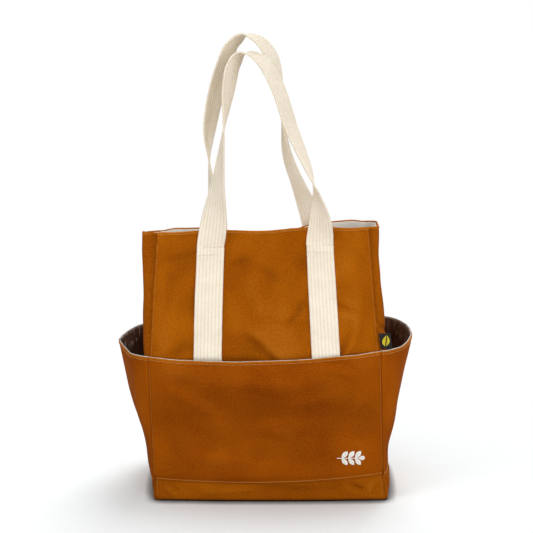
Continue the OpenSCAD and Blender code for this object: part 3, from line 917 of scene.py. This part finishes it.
def band_front(facing):
    word = WORD[facing]
    s, z = panel_grid(hem_z, pocket_rim_z, POCKET_H - HEM_H)
    wear_and_painted_light = band_wear_and_shade(pocket_rim_z(s) - z, z - hem_z(s), panel_room(s, z),
                     band_folds(facing, s, z))
    # painted shade across the middle of the band, where its belly faces down
    wear_and_painted_light = np.maximum(wear_and_painted_light - 0.24 * bump(z, POCKET_H - 70, 30), -1)
    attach(sheet(f"pocket_{word}", SHADED_BAND_CANVAS, band_pt(facing, s, z, BAND_FACE), -facing,
                  across_up(s * HALF_W + 700, z), wear_and_painted_light, [f"{word}_pocket_panel"]), "bag")

    s, z = panel_grid(lambda s: hem_z(s) + 4, lambda s: pocket_rim_z(s) - 0.8,
                      POCKET_H - HEM_H, LINING_STEP)
    face = band_pt(facing, s, z, BAND_LINING_OUT)
    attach(sheet(f"pocket_lining_{word}", COATED, face, -facing, across_up(s * HALF_W, z),
                  0.0, [f"{word}_pocket_lining"]), "bag")


def side_grid(low, high):
    """Angles round a side pocket, places along its curve, and heights."""
    turn = np.linspace(-SIDE_END, SIDE_END, 84)[:, None]
    z = np.linspace(low, high, int((POCKET_H - HEM_H) / 3) + 1)[None, :]
    turn, z = np.broadcast_arrays(turn, z)
    return turn, turn / 90 * SIDE_ARC, z


def band_side(side):
    word = SIDE[side]
    turn, arc, z = side_grid(HEM_H, POCKET_H)
    wear_and_painted_light = band_wear_and_shade(POCKET_H - z, z - HEM_H, SIDE_ARC - np.abs(arc), 0)
    outer = sheet(f"pocket_{word}", SHADED_BAND_CANVAS, side_pt(side, turn, z, BAND_FACE), side,
                  across_up(arc - 600, z), wear_and_painted_light, [f"{word}_pocket_panel"])
    press_with(outer, side)

    # the lining is gathered under its rim and hangs loose below
    turn, arc, z = side_grid(HEM_H + 4, POCKET_H - 0.8)
    wave = np.sin(arc * 0.52 + 1.4 * np.sin(arc * 0.11)) * (0.6 + 0.4 * np.sin(arc * 0.23 + 2))
    gather = 1.5 * (0.5 + 0.5 * wave) * bump(z, POCKET_H - 15, 10) * np.cos(np.radians(turn))
    loose = 1.5 * (1 + side_slow[side](arc * 1.7, z * 1.2)) * ease((POCKET_H - 14 - z) / 40)
    out = BAND_LINING_OUT - gather - loose * np.cos(np.radians(turn))
    inner = sheet(f"pocket_lining_{word}", COATED, side_pt(side, turn, z, out), side,
                  across_up(arc, z), GATHER_SHINE[side] * bump(z, POCKET_H - 12, 9),
                  [f"{word}_pocket_lining"])
    press_with(inner, side)


def cord(name, look, path, radius_a, radius_b, lean_to, nodes=(), sides=8):
    """A thin rounded strip along a path; radius_a along lean_to, radius_b upwards."""
    run = unit(np.gradient(path, axis=0))
    a = unit(lean_to - run * np.sum(lean_to * run, -1, keepdims=True))
    b = np.cross(run, a)
    turn = np.linspace(0, 2 * np.pi, sides, endpoint=False)
    ring = (a[:, None] * np.cos(turn)[None, :, None] * radius_a
            + b[:, None] * np.sin(turn)[None, :, None] * radius_b)
    points = (path[:, None] + ring).reshape(-1, 3)
    weave = across_up(distance_along(path)[:, None], turn[None, :] * radius_b).reshape(-1, 2)
    obj = make_mesh(name, look, points, tube_faces(len(path), sides), weave,
                    np.zeros(len(points)))
    if nodes:
        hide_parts(*nodes)
    return obj


def corner_seam(side, facing):
    """The turned seam that closes a corner, from the base to the rim."""
    z = np.linspace(1.5, RIM_H - SEAM_END, 130)
    x = side * (seam_x(z) - SEAM_INSET - 0.4 * foot_curl(z))
    path = settle(x, facing * (seam_y(z) - SEAM_INSET - 0.4 * foot_curl(z)), z)
    out = np.array([side, facing, 0.0])
    name = f"seam_{WORD[facing]}_{SIDE[side]}"
    bend_at_pocket(cord(name, SHADED_SEAM_CANVAS, path, SEAM_R, SEAM_R, out))


def band_edge(facing):
    """Light tape along the rim of a flat pocket, between its canvas and its lining."""
    s = np.linspace(-1, 1, 160)
    path = band_pt(facing, s, pocket_rim_z(s) + 0.2, BAND_OUT + 0.1)
    word = WORD[facing]
    out = np.array([0.0, facing, 0.0])
    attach(cord(f"tape_{word}", TAPE, path, 0.75, 1.2, out, [f"{word}_pocket_binding"]), "bag")


def side_edge(side):
    turn = np.linspace(-89, 89, 140)
    path = side_pt(side, turn, np.full_like(turn, POCKET_H + 0.4), BAND_OUT + 0.1)
    word = SIDE[side]
    obj = cord(f"tape_{word}", TAPE, path, 0.85, 1.5, side_out(side, turn),
               [f"{word}_pocket_binding"])
    press_with(obj, side)


def side_out(side, turn):
    """Outward directions round a side pocket."""
    t = np.radians(turn)
    return np.stack([side * np.cos(t), np.sin(t), 0 * t], -1)


for facing in (FRONT, BACK):
    band_front(facing)
    band_edge(facing)
    corner_seam(LEFT, facing)
    corner_seam(RIGHT, facing)
for side in (LEFT, RIGHT):
    band_side(side)
    side_edge(side)


# ---------------------------------------------------------------- webbing
RIBS = 8
RIB_DEPTH = 0.22
AROUND = 5 * RIBS
STRAP_OUT = CLOTH_GAP + WEB_T / 2
JOIN_H = TACK_H - 12        # height at which a sewn run passes to the handle


def web_section():
    """Half section of the webbing: places across (-1 to 1), the rib height and how deep
    in a groove each point is."""
    e = np.linspace(-1, 1, AROUND + 1)
    groove = (0.5 + 0.5 * np.cos(e * RIBS * np.pi)) ** 3
    edge = np.clip((1 - np.abs(e)) * WEB_W / 2 / 1.2, 0, 1)
    height = (WEB_T / 2 - RIB_DEPTH * groove) * np.sqrt(1 - (1 - edge) ** 2 * 0.96)
    return e, height, groove


def webbing(name, centre, wide, face_dir, nodes=()):
    """A ribbed strip through the points of centre. wide is its unit width direction and
    face_dir its unit face direction at each point."""
    e, height, groove = web_section()
    n = len(centre)
    top = centre[:, None] + wide[:, None] * (e * WEB_W / 2)[None, :, None]
    lift = face_dir[:, None] * height[None, :, None]
    points = np.concatenate([top + lift, (top - lift)[:, 1:-1][:, ::-1]], 1)
    ring = points.shape[1]
    e_all = np.concatenate([e, e[1:-1][::-1]])
    g_all = np.concatenate([groove, groove[1:-1][::-1]])
    weave = across_up(e_all[None, :] * WEB_W / 2, distance_along(centre)[:, None])
    faces = ring_faces(n, ring)
    for base, far in ((0, False), ((n - 1) * ring, True)):
        caps = [(0, 1, ring - 1)]
        caps += [(k, k + 1, ring - k - 1, ring - k) for k in range(1, AROUND - 1)]
        caps.append((AROUND - 1, AROUND, AROUND + 1))
        for cap in caps:
            cap = [base + k for k in cap]
            faces.append(cap if far else cap[::-1])
    # each point's groove depth, which the material uses for the painted groove shade
    obj = make_mesh(name, WEBBING, points.reshape(-1, 3), faces, weave.reshape(-1, 2),
                    np.tile(g_all, n))
    if nodes:
        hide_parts(*nodes)
    return obj


def strap_pt(facing, side, e, z, out):
    """A point of a sewn-down run: e across from -1 to 1, out above the panel's face."""
    middle = STRAP_SHIFT + side * (STRAP_SPAN + STRAP_SPLAY * (1 - up(z))) / 2
    return panel_pt(facing, (middle + e * WEB_W / 2) / seam_x(z), z, -out)


def strap_out(z):
    """Stand-off of the middle of the webbing from the panel."""
    slack = 0.7 * bump(z, (TACK_H + POCKET_H) / 2, 60)
    tucked = 0.5 * ease((POCKET_H - z) / 20)
    return STRAP_OUT + slack - tucked


def strap_frame(facing, side, z):
    """Middle line, width direction and face direction of a sewn-down run."""
    left, centre, right = (strap_pt(facing, side, e, z, strap_out(z)) for e in (-0.8, 0.0, 0.8))
    wide = unit(right - left)
    return centre, wide, unit(np.cross(wide, unit(np.gradient(centre, axis=0))))


def strap_run(facing, side, nodes):
    z = np.linspace(POCKET_H + TAIL_D, JOIN_H, 70)
    name = f"strap_{WORD[facing]}_{SIDE[side]}"
    bend_at_pocket(webbing(name, *strap_frame(facing, side, z), nodes))


# Each guide of a handle gives the place across, the share of the rise, the stand-off from
# the bar tacks' plane and the turn of the width away from the X axis.
GUIDES = {
    FRONT: [
        (-76, 0.12, -1.5, 18), (-70, 0.32, -2, 60), (-62, 0.58, -2, 86), (-55, 0.8, -1, 114),
        (-48, 0.93, -1, 118), (-34, 0.988, -1, 118), (-11, 0.955, -1, 118),
        (11, 0.815, -1, 119), (30, 0.6, -1, 117), (52, 0.4, -1, 104), (64, 0.26, -1.5, 78),
        (69, 0.12, -1.5, 42),
    ],
    BACK: [
        (-75, 0.1, -1.5, 30), (-78, 0.2, -1, 66), (-83, 0.4, 1, 88), (-82, 0.55, 3, 114),
        (-72, 0.73, 5, 124), (-57, 0.9, 5, 121), (-46, 0.96, 5, 118), (-31, 0.99, 5, 118),
        (-10, 0.955, 5, 118), (6, 0.86, 5, 117), (14, 0.7, 4, 104), (18, 0.57, 4, 88),
        (25, 0.41, 2, 70), (42, 0.25, 0, 56), (60, 0.1, -1.5, 26),
    ],
}


def curve_through(points, steps):
    """Catmull-Rom curve through rows of numbers."""
    p = np.asarray(points, float)
    p = np.concatenate([p[:1], p, p[-1:]])
    t = np.linspace(0, 1, steps, endpoint=False)[:, None]
    parts = []
    for a, b, c, d in zip(p[:-3], p[1:-2], p[2:-1], p[3:]):
        parts.append(0.5 * (2 * b + (c - a) * t + (2 * a - 5 * b + 4 * c - d) * t**2
                            + (3 * b - a - 3 * c + d) * t**3))
    return np.concatenate(parts + [p[-1:]])


def handle(facing):
    """A whole handle: up from one sewn run, over, and down into the other."""
    node = f"{WORD[facing]}_handle"
    rise = span(node)[1][2] - TACK_H - WEB_T
    z = np.linspace(JOIN_H, TACK_H + 1, 3)
    left, right = (np.concatenate(strap_frame(facing, side, z)[:2], 1) for side in (LEFT, RIGHT))
    plane = (left[-1, 1] + right[-1, 1]) / 2
    middle = []
    for x, share, off, turn in GUIDES[facing]:
        height = TACK_H + share * rise + TILT * x / HALF_W * (1 - share)
        t = math.radians(turn)
        middle.append((x, plane + facing * off, height, math.cos(t), -math.sin(t), 0))
    path = curve_through([*left, *middle, *right[::-1]], 12)
    centre = path[:, :3]
    run = unit(np.gradient(centre, axis=0))
    flat = unit(path[:, 3:])
    free = ease((centre[:, 2:] - TACK_H + 4) / 12)
    wide = unit(flat - free * run * np.sum(flat * run, -1, keepdims=True))
    obj = webbing(f"handle_{WORD[facing]}", centre, wide, unit(np.cross(wide, run)), [node])
    blend(obj)


for facing in (FRONT, BACK):
    strap_run(facing, LEFT, [f"{WORD[facing]}_straps"])
    strap_run(facing, RIGHT, ["strap_tails"] if facing == FRONT else [])
    handle(facing)


# ---------------------------------------------------------------- stitching
STITCH_L = 1.9
STITCH_PITCH = STITCH_L + 1.5
THREAD_R = 0.42
STRAND_SIDES = 6
STRAND_RINGS = 5


def strand(a, b, up_dir, radius):
    """Points of one short length of thread from a to b, arched along up_dir."""
    t = np.linspace(0, 1, STRAND_RINGS)
    side = np.cross(unit(b - a), up_dir)
    centre = a + (b - a) * t[:, None] + up_dir * (0.5 * radius * np.sin(np.pi * t))[:, None]
    swell = radius * (0.35 + 0.65 * np.sin(np.pi * np.clip(t, 0.08, 0.92)) ** 0.6)
    turn = np.linspace(0, 2 * np.pi, STRAND_SIDES, endpoint=False)
    ring = side * np.cos(turn)[:, None] + up_dir * np.sin(turn)[:, None]
    points = centre[:, None] + ring[None] * swell[:, None, None]
    weave = across_up(t[:, None] * np.linalg.norm(b - a), turn[None, :] * radius)
    return points.reshape(-1, 3), weave.reshape(-1, 2)


def threads(name, look, strands, radius=THREAD_R):
    """One object of many lengths of thread; each is (start, end, up)."""
    points, weave, faces = [], [], []
    for k, (a, b, up_dir) in enumerate(strands):
        p, w = strand(a, b, up_dir, radius)
        faces += tube_faces(STRAND_RINGS, STRAND_SIDES, k * len(p))
        points.append(p)
        weave.append(w)
    points = np.concatenate(points)
    return make_mesh(name, look, points, faces, np.concatenate(weave), np.zeros(len(points)))


def line_on(point_at, outwards, count=200, pitch=STITCH_PITCH, length=STITCH_L):
    """Running stitches along a line on a surface. point_at(t, d) gives the point at share
    t of the line, moved by d across it, and outwards says which side they lie on."""
    t = np.linspace(0, 1, count)
    path = point_at(t, 0)
    normals = unit(np.cross(np.gradient(path, axis=0), point_at(t, 1.0) - path))
    facing_out = np.sign(np.sum(normals * outwards, -1, keepdims=True))
    normals = normals * np.where(facing_out == 0, 1, facing_out)
    run = distance_along(path)
    begin = np.arange(int(run[-1] / pitch)) * pitch + pitch * 0.2

    def at(values, d):
        return np.stack([np.interp(d, run, values[:, k]) for k in range(3)], -1)

    n = unit(at(normals, begin + length / 2))
    lift = n * THREAD_R * 0.2
    return list(zip(at(path, begin) + lift, at(path, begin + length) + lift, n))


def body_stitches(facing):
    def rim(t, d):
        s = mix(-0.985, 0.985, t)
        return panel_pt(facing, s, rim_z(facing, s) - RIM_STITCH - d, 0)

    seams = []
    for side in (LEFT, RIGHT):
        def seam(t, d):
            z = mix(8, RIM_H - SEAM_END, t)
            return panel_pt(facing, side * (1 - (SEAM_STITCH + d) / seam_x(z)), z, 0)

        seams += line_on(seam, (0, facing, 0), 300)
    lines = line_on(rim, (0, facing, 0))
    bend_at_pocket(threads(f"topstitch_{WORD[facing]}", THREAD, lines))
    bend_at_pocket(threads(f"seam_stitch_{WORD[facing]}", SEAM_THREAD, seams))


def gusset_stitches(side, facing):
    def top(t, d):
        z = np.full_like(t, RIM_H - RIM_STITCH - d)
        return gusset_pt(side, facing * mix(0.02, 0.93, t), z, 0)

    lines = line_on(top, (side, 0, 0), 60)
    bend_gusset(threads(f"topstitch_{SIDE[side]}_{WORD[facing]}", THREAD, lines))


def band_stitches(facing):
    def rim(t, d):
        s = mix(-0.995, 0.995, t)
        return band_pt(facing, s, pocket_rim_z(s) - POCKET_STITCH - d, BAND_FACE)

    def hem(t, d):
        s = mix(-0.995, 0.995, t)
        return band_pt(facing, s, hem_z(s) + HEM_STITCH + d, BAND_FACE)

    out = (0, facing, 0)
    seams = []
    for side in (LEFT, RIGHT):
        def seam(t, d):
            z = mix(HEM_H + 5, POCKET_H - 6, t)
            return band_pt(facing, side * (1 - (1.4 + d) / seam_x(z)), z, BAND_FACE)

        seams += line_on(seam, out)
    lines = line_on(rim, out) + line_on(hem, out)
    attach(threads(f"pocket_stitch_{WORD[facing]}", THREAD, lines), "bag")
    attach(threads(f"pocket_seam_stitch_{WORD[facing]}", SEAM_THREAD, seams), "bag")


def side_stitches(side):
    def row(height, step, off):
        """A row that runs round the pocket; outwards is the other way for its inside."""
        def at(t, d):
            return side_pt(side, mix(-88, 88, t), np.full_like(t, height + step * d), off)

        out = side_out(side, np.linspace(-88, 88, 260))
        return line_on(at, out if off == BAND_FACE else -out, 260)

    rim = POCKET_H - POCKET_STITCH
    lines = row(rim, -1, BAND_FACE) + row(HEM_H + HEM_STITCH, 1, BAND_FACE)
    inner = row(rim, -1, BAND_LINING_OUT - LINING_T - 0.5)
    press_with(threads(f"pocket_stitch_{SIDE[side]}", THREAD, lines), side)
    press_with(threads(f"lining_stitch_{SIDE[side]}", DARK_THREAD, inner), side)


def strap_stitches(facing):
    """Stitches down both edges of each run, and the bar tacks across its top."""
    lines, tacks = [], []
    for side in (LEFT, RIGHT):
        for e in (-0.88, 0.88):
            def edge(t, d):
                z = mix(POCKET_H - 20, TACK_H - 2, t)
                return strap_pt(facing, side, e + d * 0.02, z, strap_out(z) + WEB_T * 0.4)

            lines += line_on(edge, (0, facing, 0))
        for drop in (0.4, 2.2):
            def tack(t, d):
                return strap_pt(facing, side, mix(-0.93, 0.93, t), TACK_H - drop - d,
                                CLOTH_GAP + WEB_T * 0.98)

            tacks += line_on(tack, (0, facing, 0), 60, 2.4, 2.1)
    word = WORD[facing]
    bend_at_pocket(threads(f"strap_stitch_{word}", PALE_THREAD, lines, 0.32))
    obj = threads(f"bar_tacks_{word}", PALE_THREAD, tacks)
    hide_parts(f"{word}_bar_tacks")
    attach(obj, MOUTH[facing])


for facing in (FRONT, BACK):
    body_stitches(facing)
    band_stitches(facing)
    strap_stitches(facing)
for side in (LEFT, RIGHT):
    gusset_stitches(side, FRONT)
    gusset_stitches(side, BACK)
    side_stitches(side)


# ---------------------------------------------------------------- woven label
LEAF_HALF = 0.34
LABEL_LEAN = 0.16
TUCKED = 1.5                # how far the label's root goes into the seam


def woven_label():
    """A folded satin label that stands out of the corner seam, with a yellow leaf on it."""
    low, high = span("woven_label")
    width, _, length = high - low

    def label_pt(u, v, out):
        x = low[0] - TUCKED + u * (width + TUCKED) - LABEL_LEAN * (v - 0.5) * length
        z = low[2] + v * length + 0.6 * u * (v - 0.5)
        wave = 0.6 * np.sin(u * 2.4) + 0.35 * np.sin(v * 5) * u
        return np.stack([x, (low[1] + high[1]) / 2 - out + wave, z], -1)

    u = np.linspace(0, 1, 30)[:, None]
    v = np.linspace(0, 1, 36)[None, :]
    obj = sheet("label", LABEL, label_pt(u, v, 0.5), 1, across_up(u * width, v * length),
                0.0, ["woven_label"])
    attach(obj, "label")
    strips = []
    for k in np.linspace(0.02, 0.98, 34):
        half = LEAF_HALF * math.sin(math.pi * k**0.75) ** 0.7
        for way in (-1, 1):
            across = mix(0.42, 0.66, k) + way * np.array([0.05, max(half, 0.06)])
            ends = label_pt(across, mix(0.14, 0.84, k) + np.array([0.0, 0.05]), 0.62)
            strips.append((*ends, np.array([0.0, -1.0, 0.0])))
    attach(threads("label_field", LEAF, strips, 0.33), "label")


woven_label()


# ---------------------------------------------------------------- embroidered sprig
LEAF_ANGLE = math.radians(52)
SATIN_PITCH = 0.62          # from one thread of a leaf to the next


def sprig():
    """Satin-stitched leaves on a stem, following the front pocket."""
    low, high = span("embroidered_motif")
    width = high[0] - low[0]
    cx, cz = (low[0] + high[0]) / 2, (low[2] + high[2]) / 2
    leaf_l = width * 0.34
    leaf_w = leaf_l * 0.25
    strands = []

    def thread_on(x0, z0, x1, z1):
        """A thread between two places, each given as it lies on the settled pocket."""
        ends = []
        for x, z in ((x0, z0), (x1, z1)):
            z = z - TILT * x / HALF_W
            x = x + LEAN * math.sin(math.pi / 2 * z / RIM_H)
            z = np.array(z)
            ends.append(band_pt(FRONT, x / seam_x(z), z, BAND_FACE + 0.25))
        strands.append((*ends, np.array([0.0, -1.0, 0.0])))

    def satin(x, angle, length):
        """One leaf: two rows of slanting threads that meet on its rib."""
        c, s = math.cos(angle), math.sin(angle)
        n = int(length / SATIN_PITCH)
        for k in range(1, n):
            t = k / n
            half = leaf_w * math.sin(math.pi * t**0.8)
            for way in (-1, 1):
                a0, b0 = t * length, 0.06 * way
                a1, b1 = min(t * length + half * 0.55, length * 1.02), way * half
                thread_on(x + a0 * c - b0 * s, cz + a0 * s + b0 * c,
                          x + a1 * c - b1 * s, cz + a1 * s + b1 * c)

    for k in range(3):
        for way in (-1, 1):
            satin(cx + mix(-width * 0.34, width * 0.14, k / 2), way * LEAF_ANGLE, leaf_l)
    satin(cx + width * 0.26, 0.0, width * 0.24)
    for x in np.linspace(-width / 2, width * 0.28, 42) + cx:
        thread_on(x - 0.5, cz - 0.45, x + 0.9, cz + 0.45)
    obj = threads("embroidered_sprig", SPRIG_THREAD, strands, 0.4)
    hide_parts("embroidered_motif")
    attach(obj, "bag")


sprig()


# ---------------------------------------------------------------- carried-over parts
def refinish(material, *nodes):
    for node in nodes:
        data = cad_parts[node].data
        data.materials.clear()
        data.materials.append(material)


refinish(nickel(), "snap_stud", "snap_socket", "snap_stud_washer", "snap_socket_washer")
refinish(fibreboard(), "base_board")


# ---------------------------------------------------------------- scene
FLOOR_TONE = (0.95, 0.995, 1.0, 1)
FLOOR_UNSEEN = (0.62, 0.62, 0.63, 1)    # what the floor throws back at the bag
FLOOR_STRETCH = (1.0, 1.8, 1.0)     # the floor fades sooner in front than at the sides
FLOOR_HALF = 6.0
SKY = 0.4
LOOK_AT = Vector((0, 0, 0.3))
FLOOR_LEFT_OUT = bpy.data.collections.new("floor_left_out")


def floor():
    """A pale floor that fades into the white backdrop a little way from the bag, with a
    painted contact shadow where the bag nearly touches it."""
    s = Shader("pale_floor")
    seen = s.node("ShaderNodeLightPath").outputs["Is Camera Ray"]
    point = s.node("ShaderNodeTexCoord").outputs["Object"]
    stretched = s.node("ShaderNodeMapping", Scale=FLOOR_STRETCH, Vector=point).outputs[0]
    length = s.node("ShaderNodeVectorMath", operation="LENGTH", Vector=stretched)
    fade = s.node("ShaderNodeMapRange", interpolation_type="SMOOTHSTEP", From_Min=0.17,
                  From_Max=0.66, Value=length.outputs["Value"])
    faded = s.times(fade.outputs["Result"], seen)
    # painted contact shadow: ambient occlusion darkens the floor's colour near the bag
    open_sky = s.node("ShaderNodeAmbientOcclusion", Distance=0.014, samples=4).outputs["AO"]
    painted_contact_shadow = s.ramp(s.maths("POWER", open_sky, 2.4), (0, CLEAR_BLACK), (1, FLOOR_TONE))
    shade = s.blend(seen, FLOOR_UNSEEN, painted_contact_shadow)
    s.finish(s.blend(faded, shade, CLEAR_BLACK), 0.7, Specular_IOR_Level=0.0,
             Emission_Color=PURE_WHITE, Emission_Strength=faded)
    mesh = bpy.data.meshes.new("floor")
    corners = [(-1, -1), (1, -1), (1, 1), (-1, 1)]
    mesh.from_pydata([(x * FLOOR_HALF, y * FLOOR_HALF, 0) for x, y in corners], [],
                     [(0, 1, 2, 3)])
    mesh.materials.append(s.material)
    obj = add_object("floor", mesh)
    FLOOR_LEFT_OUT.objects.link(obj)
    FLOOR_LEFT_OUT.collection_objects[0].light_linking.link_state = "EXCLUDE"


def lamp(name, kind, power, towards):
    data = bpy.data.lights.new(name, kind)
    data.energy = power
    obj = add_object(name, data)
    obj.rotation_euler = Vector(towards).to_track_quat("Z", "Y").to_euler()
    return obj


def soft_box(name, where, size, power, on_floor=True):
    """A square softbox turned to the bag; size in metres."""
    obj = lamp(name, "AREA", power, Vector(where) - LOOK_AT)
    obj.data.shape = "SQUARE"
    obj.data.size = size
    obj.location = where
    obj.visible_camera = False
    if not on_floor:
        obj.light_linking.receiver_collection = FLOOR_LEFT_OUT


def studio():
    world = bpy.data.worlds.new("studio")
    world.use_nodes = True
    tree = world.node_tree
    background = tree.nodes["Background"]
    background.inputs["Color"].default_value = PURE_WHITE
    path = tree.nodes.new("ShaderNodeLightPath")
    strength = tree.nodes.new("ShaderNodeMapRange")
    strength.inputs["To Min"].default_value = SKY
    strength.inputs["To Max"].default_value = 1.0
    tree.links.new(path.outputs["Is Camera Ray"], strength.inputs["Value"])
    tree.links.new(strength.outputs["Result"], background.inputs["Strength"])
    bpy.context.scene.world = world
    bpy.context.scene.view_settings.view_transform = "Standard"
    soft_box("key", (-0.74, -0.6, 0.92), 0.6, 4.7)
    soft_box("fill", (0.85, -0.6, 0.65), 0.7, 4.5, on_floor=False)
    soft_box("front", (0.0, -0.6, 0.85), 0.4, 1.0)
    soft_box("low", (0.1, -1.0, 0.08), 0.5, 2.6, on_floor=False)
    soft_box("rear", (0.3, 1.1, 1.1), 0.9, 12)
    lamp("top", "SUN", 0.8, (0.35, 0.35, 1.0)).data.angle = math.radians(40)


CAMERA_PLACE = (-0.0042, -1.6, 0.65)
CAMERA_PITCH = 11.93
CAMERA_LENS = 79.6


def camera():
    data = bpy.data.cameras.new("camera")
    data.lens = CAMERA_LENS
    data.sensor_width = 36
    obj = add_object("camera", data)
    obj.location = CAMERA_PLACE
    obj.rotation_euler = (math.radians(90 - CAMERA_PITCH), 0, 0)
    bpy.context.scene.camera = obj


floor()
studio()
camera()
